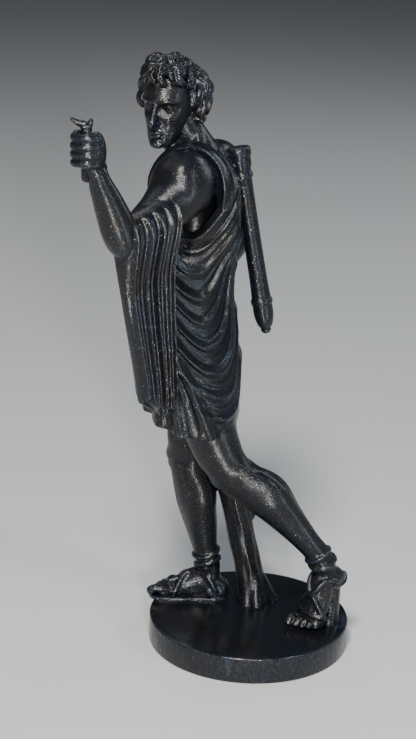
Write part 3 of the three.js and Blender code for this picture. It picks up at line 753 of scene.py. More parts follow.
def toHead(piece):
    place = headPlace()
    setPoints(piece, pointsOf(piece) @ place[:3, :3].T + place[:3, 3])
    return piece


def headSkin():
    piece, points, _, _ = newBall("headSkin", 220, 180)
    fromAxis = np.hypot(points[:, 0], points[:, 1])
    pole = fromAxis < 1e-6
    even = np.where(pole, 0, np.arctan2(points[:, 0], -points[:, 1]))
    angle = even - 0.4 * np.sin(even)  # more points on the face than behind
    z = points[:, 2] * headPose["halfHeight"]
    half, front, back = readTable(headRows, z)
    middle, depth = (back - front) / 2, (back + front) / 2
    x = np.sin(angle) * half
    y = middle - np.cos(angle) * depth
    onFace = smooth(np.cos(angle), 0, 0.25)
    for side, up, wide, high, out in faceForms:
        y -= onFace * out * np.exp(-(((np.abs(x) - side) / wide) ** 2) - ((z - up) / high) ** 2)
    setPoints(piece, np.column_stack([np.where(pole, 0, x), np.where(pole, middle, y), z]))
    return piece


faceRows = {  # x from the middle outwards, y, z, half width, half depth
    "nose": [
        (0, -7.8, 3.3, 0.95, 0.6),
        (0, -8.5, 1.6, 0.92, 0.8),
        (0, -9.2, 0, 0.95, 0.95),
        (0, -10.0, -1.7, 1.05, 1.05),
        (0, -10.55, -2.8, 1.15, 1.05),
        (0, -10.3, -3.6, 1.0, 0.8),
        (0, -9.4, -3.95, 0.75, 0.5),
    ],
    "browEdge": [
        (0.9, -8.35, 1.75, 0.3, 0.25),
        (1.8, -8.55, 2.35, 0.42, 0.32),
        (3.0, -8.1, 2.72, 0.45, 0.34),
        (4.3, -7.2, 2.5, 0.38, 0.3),
        (5.3, -6.0, 1.8, 0.25, 0.22),
    ],
    "earRim": [
        (7.0, -0.6, 1.2, 0.35, 0.4),
        (7.5, 0.3, 2.1, 0.4, 0.45),
        (7.9, 1.5, 1.9, 0.4, 0.45),
        (7.9, 2.0, 0.5, 0.4, 0.45),
        (7.4, 1.4, -1.0, 0.4, 0.45),
        (7.0, 0.7, -2.0, 0.5, 0.5),
        (6.9, 0.2, -2.3, 0.4, 0.4),
    ],
    "upperLip": [
        (0, -9.12, -6.12, 0.36, 0.5),
        (0.65, -9.05, -5.98, 0.4, 0.5),
        (1.5, -8.6, -6.25, 0.3, 0.42),
        (2.15, -7.95, -6.45, 0.14, 0.16),
    ],
    "lowerLip": [
        (0, -9.0, -7.15, 0.48, 0.52),
        (0.5, -8.98, -7.12, 0.48, 0.52),
        (1.2, -8.7, -6.95, 0.38, 0.45),
        (2.0, -8.0, -6.6, 0.14, 0.16),
    ],
}
lidRows = {  # x from the middle outwards, z, thickness
    "upperLid": [
        (1.62, 0.05, 0.12),
        (1.95, 0.5, 0.24),
        (2.6, 0.98, 0.29),
        (3.3, 1.06, 0.3),
        (4.0, 0.72, 0.27),
        (4.5, 0.15, 0.2),
        (4.62, -0.05, 0.1),
    ],
    "lowerLid": [
        (1.65, 0.0, 0.1),
        (2.1, -0.38, 0.17),
        (2.9, -0.66, 0.2),
        (3.7, -0.55, 0.19),
        (4.35, -0.1, 0.13),
        (4.5, 0.05, 0.08),
    ],
}


def onSide(name, s):
    return [(x * s, *rest) for x, *rest in faceRows[name]]


def acrossMiddle(name):
    # from one side over the middle to the other
    rows = faceRows[name]
    return [(-x, *rest) for x, *rest in rows[:0:-1]] + rows


def lid(name, s, eye, radius):
    # a rim on a ball a little larger than the eyeball
    rows = []
    for x, z, thick in lidRows[name]:
        flat = np.array((x * s - eye[0], 0, z - eye[2]))
        ahead = math.sqrt(max(0.05, radius**2 - flat @ flat))
        rows.append((*(eye + flat + np.array((0, -ahead, 0))), thick, thick * 0.9))
    return limb(name, rows, (0, -1, 0), 14, 40)


def sideFeatures(s):
    eye = np.array((3.05 * s, -5.75, 0.3))
    return [
        blob("eyeball", eye, (1.5, 1.5, 1.5), (0, 0, 0), 32, 24),
        lid("upperLid", s, eye, 1.63),
        lid("lowerLid", s, eye, 1.6),
        limb("browEdge", onSide("browEdge", s), (0, -1, 0), 14, 30),
        blob("nostrilWing", (0.98 * s, -9.15, -3.3), (0.6, 0.95, 0.6), (0, 0, -18 * s), 20, 14),
        limb("earRim", onSide("earRim", s), (s, 0, 0), 14, 40),
        blob("earBowl", (6.9 * s, 0.8, 0.1), (0.6, 1.2, 1.9), (0, 0, 0), 20, 14),
    ]


def features():
    return [
        limb("nose", faceRows["nose"], (0, -1, 0), 28, 40),
        *sideFeatures(-1),
        *sideFeatures(1),
        limb("upperLip", acrossMiddle("upperLip"), (0, -1, 0), 18, 50),
        limb("lowerLip", acrossMiddle("lowerLip"), (0, -1, 0), 18, 50),
        blob("chin", (0, -8.3, -9.4), (2.2, 1.5, 1.4), (0, 0, 0), 24, 16),
    ]


hairLook = {
    "seed": 11,
    "reach": (9.3, 9.8, 8.8),
    "middle": (0, 1.4, 3.6),
    "strands": 0.2,  # height of the strands on a lock
    "steps": 15,  # places along a lock
    # degrees up, how many, from and to degrees round from the face, length, half width, lift,
    # way: 0 down, 180 up
    "rows": [
        (80, 5, 0, 360, 40, 1.3, 0.07, 0),
        (58, 9, 40, 320, 44, 1.3, 0.1, 0),
        (36, 10, 66, 294, 42, 1.3, 0.13, 0),
        (14, 11, 76, 284, 40, 1.3, 0.15, 0),
        (-8, 11, 82, 278, 38, 1.25, 0.16, 0),
        (-30, 10, 92, 268, 34, 1.2, 0.18, 0),
        (-48, 8, 108, 252, 28, 1.1, 0.18, 0),
        (20, 9, -64, 64, 44, 1.35, 0.2, 180),
        (32, 8, -56, 56, 42, 1.35, 0.23, 180),
        (44, 7, -52, 52, 42, 1.3, 0.2, 180),
        (46, 5, -94, -38, 30, 1.35, 0.3, 180),
        (68, 4, 10, 120, 22, 1.3, 0.2, 180),
    ],
}


def hairPoint(latitude, around, lift):
    lat, lon = np.radians(latitude), np.radians(around)
    ways = (np.sin(lon) * np.cos(lat), -np.cos(lon) * np.cos(lat), np.sin(lat))
    out = np.column_stack([way * reach for way, reach in zip(ways, hairLook["reach"])])
    nape = smooth(-np.cos(lon), -0.5, 0.5)
    out[:, 2] *= 1 + 0.5 * nape * smooth(-np.sin(lat), 0, 0.7)
    crown = 0.2 * smooth(np.sin(lat), 0, 0.7) * np.abs(np.sin(lon)) * np.cos(lat) ** 0.5
    low = (0.24 - 0.14 * nape) * (1 - smooth(np.sin(lat), -0.9, -0.4))
    return out * (0.93 + lift - crown - low)[:, None] + np.array(hairLook["middle"])


def hairCap():
    piece, points, _, _ = newBall("hairCap", 160, 110)
    height = points[:, 2]
    fromAxis = np.hypot(points[:, 0], points[:, 1])
    angle = np.where(fromAxis < 1e-6, 0, np.arctan2(points[:, 0], -points[:, 1]))
    edge = np.minimum(1, fromAxis * 2)
    waves = np.cos(9 * angle + 5 * height) * np.cos(9 * height + 1.5 * np.sin(2 * angle))
    face = smooth(np.cos(angle), 0.2, 0.7) * (1 - smooth(height, 0.2, 0.5)) * edge
    latitude = np.degrees(np.arcsin(np.clip(height, -1, 1)))
    setPoints(piece, hairPoint(latitude, np.degrees(angle), 0.03 * waves * edge - 0.36 * face))
    return piece


def strands(share, angle):
    return hairLook["strands"] * np.cos(5 * angle + 2.5 * share) * np.sin(np.pi * share) ** 0.4


def fullness(t, swept):
    if swept:
        return math.sin(math.pi * (0.06 + 0.84 * t)) ** 1.1
    return math.sin(math.pi * (0.1 + 0.84 * t) ** 0.75) ** 0.7


def lock(chance, k, row):
    # a lock that walks over the head, bends and curls up at its end
    latitude, many, start, end, length, width, lift, way = row
    around = start + (end - start) * (k + 0.5 + chance.uniform(-0.22, 0.22)) / many
    lat = latitude + chance.uniform(-5, 5)
    heading = math.radians(way + chance.uniform(-24, 24))
    bend = chance.choice((-1, 1)) * chance.uniform(0.5, 0.9)
    curl = chance.choice((-1, 1)) * chance.uniform(2.2, 3.6)
    size = width * chance.uniform(0.85, 1.15)
    swept = way == 180
    tipRise = 0.2 if swept else 0.1
    steps = hairLook["steps"]
    step = length / steps
    lats, lons, lifts, widths = [], [], [], []
    for n in range(steps):
        t = n / (steps - 1)
        turn = heading + bend * math.sin(2 * math.pi * t) + curl * max(0, t - 0.45) ** 1.4 * 2
        arch = math.sin(math.pi * min(1, t * 1.08)) ** 0.8
        lats.append(lat)
        lons.append(around)
        lifts.append(-0.03 + lift * arch + tipRise * t * t)
        widths.append(size * max(0.22, fullness(t, swept)))
        lat = max(-80, min(87, lat - math.cos(turn) * step))
        around += math.sin(turn) * step / max(0.3, math.cos(math.radians(lat)))
    path = hairPoint(np.array(lats), np.array(lons), np.array(lifts))
    rows = np.column_stack([path, np.array(widths) * 0.88, np.array(widths) * 1.12])
    out = path[steps // 2] - np.array(hairLook["middle"])
    return limb("lock", rows, out / np.linalg.norm(out), 32, 48, (), strands)


def hair():
    chance = random.Random(hairLook["seed"])
    made = [hairCap()]
    for row in hairLook["rows"]:
        many = row[1]
        made += [lock(chance, k, row) for k in range(many)]
    return made


# the clothes
garmentAxis = [  # height, then the middle's x and y
    (69, 2, -17.5),
    (85, 2, -17.5),
    (97, 1.5, -18),
    (110, 1, -18.6),
    (122, 0.5, -19),
    (150, 0.4, -19.4),
]
garmentReach = [  # height, then half sizes to the left, behind, to the right and in front
    (69, 17.5, 11.4, 17, 14.2),
    (85, 17, 10.8, 16.5, 13.6),
    (97, 16.2, 10.3, 15.2, 12.2),
    (106, 15.6, 8.8, 13.2, 10.4),
    (112, 15.4, 8.4, 11.8, 9.2),
    (116, 15.4, 8.8, 13.2, 10.8),
    (124, 15.8, 10.0, 15.2, 11.8),
    (134, 16.6, 10.2, 16.8, 11.8),
    (140, 16.2, 9.6, 16.4, 10.4),
    (144, 12.6, 8.2, 13, 8.4),
    (147.5, 7.6, 6.6, 8.2, 6.8),
    (150, 5.8, 5.8, 6, 5.8),
]
garmentEdges = [  # degrees round, 0 left, 90 behind, 180 right, 270 in front; heights of hem and upper edge
    (-45, 73, 141),
    (-25, 71.5, 134),
    (-5, 70.2, 128),
    (15, 69.5, 129),
    (32, 69.2, 136),
    (48, 69.4, 144),
    (66, 70, 149),
    (90, 70.6, 149.6),
    (140, 72.5, 149),
    (180, 76.5, 148),
    (225, 77, 148.6),
    (250, 76.5, 145),
    (275, 76, 143),
    (295, 74.5, 143),
    (315, 73, 141),
]
folds = {
    "swags": 9,
    "depth": 1.7,
    "lowest": 20.0,  # degrees round at which the hanging folds are lowest
    "shift": 28.0,
    "spread": 55.0,
    "pleatDegrees": 30.0,
    "fanTop": 104.0,
    "fanMiddle": -28.0,
    "fanEdge": 1.8,
}
hemTuck = [  # rise over the hem and inset, from inside the cloth to its outer side
    (7, 5),
    (3.5, 3.4),
    (1.2, 2.4),
    (0.3, 2.0),
    (0.0, 1.5),
    (-0.1, 0.8),
    (0.0, 0.25),
]
edgeTuck = [(0.0, 0.25), (-0.05, 0.8), (0.1, 1.4), (0.5, 2.0), (1.4, 2.6), (4, 5)]  # fall and inset
garmentEnds = (79.0, 122.0)  # heights of the closed ends inside the cloth


def wrapped(degrees):
    return (degrees + 45) % 360 - 45


def crest(phase, sharp):
    return (0.5 + 0.5 * np.cos(2 * np.pi * phase)) ** sharp


def cloakShare(a):
    return smooth(a, -42, -20) * (1 - smooth(a, 118, 150))


def foldHeight(degrees, fall):
    a = wrapped(degrees)
    hem, top = readTable(garmentEdges, a)
    down = fall**1.3
    aside = (a - folds["lowest"] - folds["shift"] * fall) / folds["spread"]
    swag = np.minimum(0.17, 0.3 * aside**2 - 0.13) * cloakShare(a)
    share = down - swag * 4 * down * (1 - down)
    return top + (hem - top) * share


def foldsAt(degrees, fall, z):
    a = wrapped(degrees)
    cloak = cloakShare(a)
    count = folds["swags"]
    waist = body["waist"]
    above = foldHeight(a, np.clip(fall - 0.01, 0, 1))
    below = foldHeight(a, np.clip(fall + 0.01, 0, 1))
    room = smooth((above - below) * 50 / count, 0.6, 3.4)  # crowded folds are shallow
    # each swag starts and ends at its own place, and thin ones run between the deep ones
    shift = 0.06 * np.sin(np.radians(a) * 2.3 + 1.1) + 0.04 * np.sin(np.radians(a) * 5 + fall * 9)
    phase = fall * count + shift
    which = np.round(phase)
    own = 0.86 + 0.22 * np.sin(which * 2.4 + 0.7)
    sharp = 2.3 + 0.7 * np.sin(which * 1.7)
    main = crest(phase, sharp) * own
    thinOnes = 0.34 * crest(phase + 0.45 + 0.05 * np.sin(np.radians(a) * 4), 5) * smooth(a, -10, 25)
    swag = (main + thinOnes) * (folds["depth"] + 0.35 - 0.5 * (1 - fall)) * (1 - 0.75 * smooth(fall, 0.8, 1))
    swag *= (1 - (1 - smooth(fall, 0.01, 0.07)) * smooth(a, 50, 70)) * room
    # a fan of folds under the arm
    fanPhase = 1.6 * (a - folds["fanMiddle"]) / (8 + np.maximum(0, folds["fanTop"] - z))
    fan = crest(fanPhase, 2.4) + 0.35 * crest(fanPhase * 2 + 0.5 + 0.06 * np.sin(z * 0.3), 4)
    fanned = (1 - smooth(a + 15 - folds["fanEdge"] * (97 - z), -8, 14)) * (1 - smooth(z, 94, 106))
    hanging = swag * (1 - 0.85 * fanned) + 1.9 * fan * fanned
    # the tunic: pleats under the belt, loose cloth over it
    pleat = a / folds["pleatDegrees"]
    skirt = crest(pleat, 1.4) + 0.28 * crest(pleat * 2 + 0.5 + 0.1 * np.sin(z * 0.2), 2)
    skirt *= 1 - smooth(z, waist - 7, waist)
    skirt *= 1.1 + 1.2 * smooth(waist - z, 0, 34)
    blouse = crest(pleat + 0.5 + (z - waist) * 0.012, 1.5)
    blouse += 0.3 * crest(pleat * 2 + 0.1 * np.sin(z * 0.25), 2)
    blouse *= smooth(z, waist, waist + 6) * (1 - smooth(z, 138, 148))
    return cloak * hanging + (1 - cloak) * (skirt + 1.1 * blouse)


def garmentPoint(degrees, fall, z, inset):
    x, y = readTable(garmentAxis, z)
    left, back, right, front = readTable(garmentReach, z)
    a = np.radians(degrees)
    alongX = np.where(np.cos(a) > 0, left, right)
    alongY = np.where(np.sin(a) > 0, back, front)
    reach = 1 / np.hypot(np.cos(a) / alongX, np.sin(a) / alongY)
    w = wrapped(degrees)
    toArm = 7 * hump(w, -20, 17) * smooth(z, 72, 92) * (1 - smooth(z, 112, 127))
    roundShoulder = 5 * hump(w, 42, 22) * smooth(z, 116, 132) * (1 - smooth(z, 144, 150))
    roundThigh = 2 * hump(w, 48, 26) * (1 - smooth(z, 80, 98))
    outside = smooth(-inset, -0.8, 0)
    r = reach + toArm + roundShoulder + roundThigh + foldsAt(degrees, fall, z) * outside - inset
    return np.column_stack([x + np.cos(a) * r, y + np.sin(a) * r, z])


def garment():
    up = folds["swags"] * detail(20)
    rows = up + len(hemTuck) + len(edgeTuck) + 2
    piece, points, share, _ = newBall("garment", detail(400), rows)
    row = np.round((1 - share) * rows).astype(int)
    degrees = np.degrees(np.arctan2(points[:, 1], points[:, 0]))
    first = len(hemTuck) + 1
    fall = np.clip(1 - (row - first) / up, 0, 1)
    level = foldHeight(degrees, fall)
    rise, inset = np.zeros(len(points)), np.zeros(len(points))
    for k, (lift, sink) in enumerate(hemTuck):
        here = row == k + 1
        rise[here], inset[here] = lift, sink
    for k, (drop, sink) in enumerate(edgeTuck):
        here = row == first + up + k + 1
        rise[here], inset[here] = -drop, sink
    skin = garmentPoint(degrees, fall, level + rise, inset)
    for pole, middle in zip((0, rows), garmentEnds):
        x, y = readTable(garmentAxis, np.array([middle]))
        skin[row == pole] = (x[0], y[0], middle)
    setPoints(piece, skin)
    return piece


shoulderRollRows = [
    (15.2, -9.8, 134, 1.6, 1.6),
    (14.8, -9.6, 141, 2.2, 2.2),
    (13.6, -12.4, 147, 2.7, 2.5),
    (11.6, -18.6, 150.2, 2.8, 2.5),
    (10.6, -25.4, 148.2, 2.5, 2.4),
    (11.6, -29.4, 142.4, 2.1, 2.1),
    (14.6, -29, 135, 1.6, 1.6),
]


def shoulderRoll():
    def ridges(share, angle):
        wave = 1.25 * crest((4 * angle + 0.6 * np.sin(5 * share)) / (2 * np.pi), 2.6) - 0.5
        return wave * np.sin(np.pi * share) ** 0.4

    return limb("shoulderRoll", shoulderRollRows, (0.8, 0, 0.6), 64, 120, (), ridges)


rolledEdgeLook = {"from": 84, "to": -38, "steps": 40, "lower": 0.5}


def rolledEdge():
    # the cloak's upper edge, turned over into two fine ridges under the arm
    look = rolledEdgeLook
    steps = look["steps"]
    degrees = np.linspace(look["from"], look["to"], steps)
    _, top = readTable(garmentEdges, degrees)
    points = garmentPoint(degrees, np.zeros(steps), top, np.zeros(steps))
    points[:, 2] -= look["lower"]
    thick = 0.35 + 0.95 * np.sin(np.pi * np.linspace(0.04, 0.96, steps)) ** 0.5
    rows = np.column_stack([points, thick, thick * 1.25])

    def ridges(_, angle):
        return 0.5 * crest((4 * angle + 0.5) / (2 * np.pi), 2.6) - 0.15

    return limb("rolledEdge", rows, (0, 0, 1), 48, 160, (), ridges)


beltLook = {"from": 112, "to": 352, "steps": 60, "slope": 0.02, "level": 230, "twists": 34}


def belt():
    look = beltLook
    steps = look["steps"]
    degrees = np.linspace(look["from"], look["to"], steps)
    waist = body["waist"]
    points = garmentPoint(degrees, np.full(steps, 0.5), np.full(steps, waist), np.zeros(steps))
    points[:, 2] = waist + look["slope"] * (degrees - look["level"])
    rows = np.column_stack([points, np.full(steps, 1.25), np.full(steps, 1.5)])

    def twist(share, angle):
        return 0.22 * np.cos(2 * angle + 2 * np.pi * look["twists"] * share)

    return limb("belt", rows, (0, 0, 1), 24, 420, (), twist)


drape = {
    "inner": (27.5, -21, 0),  # its ends along the arm
    "outer": (43.5, -31.4, 0),
    "out": (0.555, 0.832, 0),  # across the arm
    "top": 142.0,
    "topFall": 4.8,  # how much lower its top is at the outer end
    "bottom": 79.0,
    "bottomRise": 5.0,
    "armDepth": 6.5,  # how far down it follows the round of the arm
    "thickness": 6.2,
    "thinner": 3.2,
    "gather": 0.4,
    "drift": 4.4,  # how far its foot hangs towards the body
    "pleats": 5,
    "pleatDepth": 2.1,
}


def armDrape():
    rows = detail(150)
    piece, points, share, _ = newBall("armDrape", detail(300), rows)
    row = np.round(share * rows)
    v = 1 - np.clip((row - 1) / (rows - 2), 0, 1)
    onAxis = (row == 0) | (row == rows)
    a = np.arctan2(points[:, 1], points[:, 0])
    w = np.where(onAxis, 0.5, 0.5 - 0.5 * np.cos(a))
    evenPhase = w * drape["pleats"] + 0.5
    scallops = 0.9 * np.abs(evenPhase % 1 - 0.5) * 2
    top = drape["top"] - drape["topFall"] * w
    bottom = drape["bottom"] + drape["bottomRise"] * w + 1.6 * np.sin(w * 9) + scallops
    level = bottom + (top - bottom) * v
    below = top - level
    arm = np.sqrt(np.maximum(0, 1 - (np.maximum(0, drape["armDepth"] - below) / drape["armDepth"]) ** 2))
    hemEnd = smooth(v, 0, 0.012)
    thick = (drape["thickness"] - drape["thinner"] * smooth(below, 4, 22)) * (0.12 + 0.88 * arm)
    gather = 1 - drape["gather"] * smooth(below, 4, 60)
    drift = drape["drift"] * smooth(below, 8, 62)
    along = 0.5 - 0.5 * gather + gather * w
    inner, outer, out = (np.array(drape[key]) for key in ("inner", "outer", "out"))
    phase = evenPhase + 0.05 * np.sin(level * 0.11)
    own = 0.9 + 0.2 * np.sin(np.round(phase) * 2.3)
    pleat = (drape["pleatDepth"] * crest(phase, 3.2) * own + 0.5 * crest(phase + 0.46, 6)) - 0.5
    side = np.where(onAxis, 0, np.sin(a))
    push = np.sign(side) * np.abs(side) ** 0.5 * (thick + pleat * arm) * (0.75 + 0.25 * hemEnd)
    place = inner + (outer - inner) * along[:, None] + out * push[:, None]
    place[:, 0] -= drift
    place[:, 1] += 0.75 * drift
    place[:, 2] = level
    setPoints(piece, place)
    return piece


quiverLook = {  # shares of the length and half width, for each form
    "top": (-3, -9.6, 148),
    "foot": (-3, 0.6, 97),
    "tube": [
        (-0.02, 3.0), (0.06, 3.05), (0.12, 2.6), (0.4, 2.5),
        (0.7, 2.6), (0.86, 2.9), (0.93, 2.7), (1, 1.6),
    ],
    "ribs": [(0.5, 0, 1.0, 26, 0.25), (0.5, 180, 1.0, 26, 0.25)],
    "rim": [(-0.035, 2.6), (-0.03, 3.25), (-0.005, 3.45), (0.02, 3.25), (0.025, 2.6)],
    "collar": [(0.105, 2.4), (0.11, 2.95), (0.122, 3.05), (0.134, 2.95), (0.14, 2.4)],
    "footBand": [(0.815, 2.5), (0.82, 3.1), (0.832, 3.2), (0.844, 3.1), (0.85, 2.5)],
    "tip": [(0.985, 1.4), (1.0, 1.5), (1.012, 1.1), (1.02, 0.4)],
}


def quiver():
    top, foot = np.array(quiverLook["top"]), np.array(quiverLook["foot"])

    def form(name, key, sides, rings, swell=()):
        rows = [(*(top + (foot - top) * t), r, r) for t, r in quiverLook[key]]
        return limb(name, rows, (0, -1, 0), sides, rings, swell)

    return [
        form("quiver", "tube", 40, 110, quiverLook["ribs"]),
        form("quiverRim", "rim", 40, 24),
        form("quiverCollar", "collar", 40, 20),
        form("quiverFootBand", "footBand", 40, 20),
        form("quiverTip", "tip", 24, 16),
    ]


# building
def base():
    radius, height = body["baseRadius"], body["baseHeight"]
    bpy.ops.mesh.primitive_cylinder_add(
        vertices=body["baseSides"], radius=radius, depth=height, location=(0, 0, height / 2)
    )
    piece = bpy.context.object
    piece.name = "base"
    bpy.ops.object.transform_apply(location=True, rotation=True, scale=True)
    sharpest = math.radians(60)
    finishWith(
        piece, "BEVEL", width=body["baseEdge"], segments=3, limit_method="ANGLE", angle_limit=sharpest
    )
    return piece


def unite(name, pieces):
    whole, *rest = pieces
    for other in rest:
        before = triangles(whole)
        finishWith(whole, "BOOLEAN", operation="UNION", solver="MANIFOLD", object=other)
        if triangles(whole) <= before:
            print("the quick union did nothing for", other.name, "so the exact one is used")
            finishWith(whole, "BOOLEAN", operation="UNION", solver="EXACT", object=other)
        bpy.data.objects.remove(other)
    whole.name = whole.data.name = name
    return whole


print("camera")
placeCamera()
print("head and hair")
headGroup = [toHead(piece) for piece in [headSkin(), *features(), *hair()]]
head = fuse("head", headGroup)
print("body")
skinGroup = [*legs(), *rightFoot(), *leftFoot(), *stump(), *torso(), *arms(), *leftHand(), *rightHand()]
figure = fuse("figure", skinGroup)
print("clothes")
clothGroup = [garment(), shoulderRoll(), rolledEdge(), belt(), armDrape(), *quiver()]
clothes = fuse("clothes", clothGroup)
thin(head)
thin(figure)
thin(clothes)
print("one piece")
statue = unite("printedStatue", [figure, clothes, head, base()])
setPoints(statue, pointsOf(statue) * millimetre)
pickOnly(statue)
bpy.ops.object.shade_smooth_by_angle(angle=math.radians(48))
print("statue", triangles(statue), "triangles")
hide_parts("statue")
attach(statue, "root")


# finish
plasticLook = {
    "deep": (0.0028, 0.0042, 0.0078),  # the blue-black of the plastic
    "warm": (0.0046, 0.0044, 0.0044),
    # painted bluish sheen on the sharp edges, standing in for reflected light
    "paintedEdgeSheen": (0.011, 0.02, 0.034),
    # painted shade in the grooves between printed layers
    "paintedGrooveShade": (0.003, 0.004, 0.006),
    "roughness": 0.25,
    "ior": 1.48,
    "specular": 0.38,
    "layerPitch": 0.2,  # mm, height of one printed layer
    "layerTilt": 0.42,
    "layerWander": 0.05,  # mm
    "wallTiltLoss": 0.7,  # share of the tilt that the base's wall goes without
    "glintSize": 0.15,  # mm
    "glintShare": 0.06,
    "glintSpread": 0.6,
    "glintBrightness": 0.2,
    "grain": 0.28,  # unevenness of the beads, which breaks up the highlights
    "baseGrain": 0.05,
    "rasterPitch": 0.48,  # mm, lines on the base's top
    "rasterTilt": 0.05,
    "rasterSlant": 38.0,
    "roundFrom": 27.6,  # mm, radius past which the lines run round
    "bedRoughness": -0.09,  # added on the smooth top of the base
    "streakSize": 0.4,  # mm, round the base's wall
    "streakLength": 0.06,
    "streakRoughness": 0.5,
    "streakTilt": 0.3,
}


def addNode(tree, kind, settings=None, inputs=None):
    item = tree.nodes.new("ShaderNode" + kind)
    for key, value in (settings or {}).items():
        setattr(item, key, value)
    for key, value in (inputs or {}).items():
        if isinstance(value, bpy.types.NodeSocket):
            tree.links.new(value, item.inputs[key])
        else:
            item.inputs[key].default_value = value
    return item


def calc(tree, operation, *values, clamp=False):
    settings = {"operation": operation, "use_clamp": clamp}
    return addNode(tree, "Math", settings, dict(enumerate(values))).outputs[0]


def times(tree, first, second):
    return calc(tree, "MULTIPLY", first, second)


def vectorCalc(tree, operation, *values):
    item = addNode(tree, "VectorMath", {"operation": operation}, dict(enumerate(values)))
    return item.outputs["Value" if operation in ("DOT_PRODUCT", "LENGTH") else "Vector"]


def scaled(tree, vector, factor):
    return addNode(tree, "VectorMath", {"operation": "SCALE"}, {0: vector, "Scale": factor}).outputs["Vector"]


def between(tree, value, low, high, start=0.0, end=1.0):
    span = {"Value": value, "From Min": low, "From Max": high, "To Min": start, "To Max": end}
    return addNode(tree, "MapRange", {"interpolation_type": "SMOOTHSTEP"}, span).outputs["Result"]


def noise(tree, place, scale, detailLevel):
    return addNode(tree, "TexNoise", inputs={"Vector": place, "Scale": scale, "Detail": detailLevel}).outputs


def centred(tree, colour):
    return vectorCalc(tree, "SUBTRACT", colour, (0.5, 0.5, 0.5))


def mixed(tree, factor, first, second):
    item = addNode(tree, "Mix", {"data_type": "RGBA"}, {"Factor": factor})
    for socket, value in zip([s for s in item.inputs if s.type == "RGBA"], (first, second)):
        if isinstance(value, bpy.types.NodeSocket):
            tree.links.new(value, socket)
        else:
            socket.default_value = (*value, 1)
    return [s for s in item.outputs if s.type == "RGBA"][0]


def newGroup(name, takes, gives):
    # takes: plain numbers by name; gives: kinds of output by name
    tree = bpy.data.node_groups.new(name, "ShaderNodeTree")
    for label, value in takes.items():
        socket = tree.interface.new_socket(name=label, in_out="INPUT", socket_type="NodeSocketFloat")
        socket.default_value = value
    for label, kind in gives.items():
        tree.interface.new_socket(name=label, in_out="OUTPUT", socket_type="NodeSocket" + kind)
    return tree, tree.nodes.new("NodeGroupInput").outputs, tree.nodes.new("NodeGroupOutput").inputs


def useGroup(tree, group, **inputs):
    return addNode(tree, "Group", {"node_tree": group}, inputs).outputs


def placeInMillimetres(tree):
    return scaled(tree, addNode(tree, "TexCoord").outputs["Object"], 1 / millimetre)


def waveOver(tree, distance, takes):
    # the phase and height of waves one pitch apart
    phase = times(tree, calc(tree, "DIVIDE", distance, takes["Pitch"]), 2 * math.pi)
    return phase, times(tree, calc(tree, "SINE", phase), takes["Tilt"])


def printLayers():
    # the rounded edge of each printed layer tips the surface up and down
    tree, takes, gives = newGroup(
        "printLayers",
        {"Pitch": 0.2, "Tilt": 0.3, "Wander": 0.03},
        {"Normal": "Vector", "Groove": "Float"},
    )
    place = placeInMillimetres(tree)
    z = addNode(tree, "SeparateXYZ", inputs={0: place}).outputs["Z"]
    uneven = calc(tree, "SUBTRACT", noise(tree, place, 1.3, 1.0)[0], 0.5)
    moved = calc(tree, "ADD", z, times(tree, uneven, takes["Wander"]))
    phase, wave = waveOver(tree, moved, takes)
    normal = addNode(tree, "NewGeometry").outputs["Normal"]
    upright = vectorCalc(tree, "DOT_PRODUCT", normal, (0, 0, 1))
    climb = vectorCalc(tree, "SUBTRACT", (0, 0, 1), scaled(tree, normal, upright))
    tree.links.new(scaled(tree, climb, wave), gives["Normal"])
    tree.links.new(calc(tree, "MULTIPLY_ADD", calc(tree, "COSINE", phase), 0.5, 0.5), gives["Groove"])
    return tree


def plasticGlints():
    # small facets of the plastic that each catch the light their own way
    tree, takes, gives = newGroup(
        "plasticGlints",
        {"Size": 0.3, "Share": 0.15, "Spread": 0.7},
        {"Glint": "Float", "Tint": "Color", "Normal": "Vector"},
    )
    scale = calc(tree, "DIVIDE", 1.0, takes["Size"])
    place = placeInMillimetres(tree)
    cells = addNode(tree, "TexVoronoi", inputs={"Vector": place, "Scale": scale}).outputs["Color"]
    parts = addNode(tree, "SeparateColor", inputs={0: cells}).outputs
    tree.links.new(calc(tree, "LESS_THAN", parts[0], takes["Share"]), gives["Glint"])
    vivid = between(tree, parts[2], 0.5, 1.0, 0.1, 0.8)
    tint = {0: parts[1], 1: vivid, 2: plasticLook["glintBrightness"]}
    tree.links.new(addNode(tree, "CombineColor", {"mode": "HSV"}, tint).outputs[0], gives["Tint"])
    tree.links.new(scaled(tree, centred(tree, cells), takes["Spread"]), gives["Normal"])
    return tree


def bedLines():
    # the straight and round passes of the nozzle on the base's top
    tree, takes, gives = newGroup("bedLines", {"Pitch": 0.45, "Tilt": 0.3}, {"Normal": "Vector"})
    place = placeInMillimetres(tree)
    flat = vectorCalc(tree, "MULTIPLY", place, (1, 1, 0))
    far = vectorCalc(tree, "LENGTH", flat)
    rim = calc(tree, "GREATER_THAN", far, plasticLook["roundFrom"])
    inside = calc(tree, "SUBTRACT", 1.0, rim)
    turn = math.radians(plasticLook["rasterSlant"])
    slant = (math.cos(turn), math.sin(turn), 0)
    wander = times(tree, noise(tree, place, 0.35, 1.0)[0], 0.5)
    straight = calc(tree, "ADD", vectorCalc(tree, "DOT_PRODUCT", place, slant), wander)
    across = calc(tree, "ADD", times(tree, straight, inside), times(tree, far, rim))
    _, wave = waveOver(tree, across, takes)
    outward = vectorCalc(tree, "NORMALIZE", flat)
    way = vectorCalc(tree, "ADD", scaled(tree, outward, rim), scaled(tree, slant, inside))
    tree.links.new(scaled(tree, way, wave), gives["Normal"])
    return tree


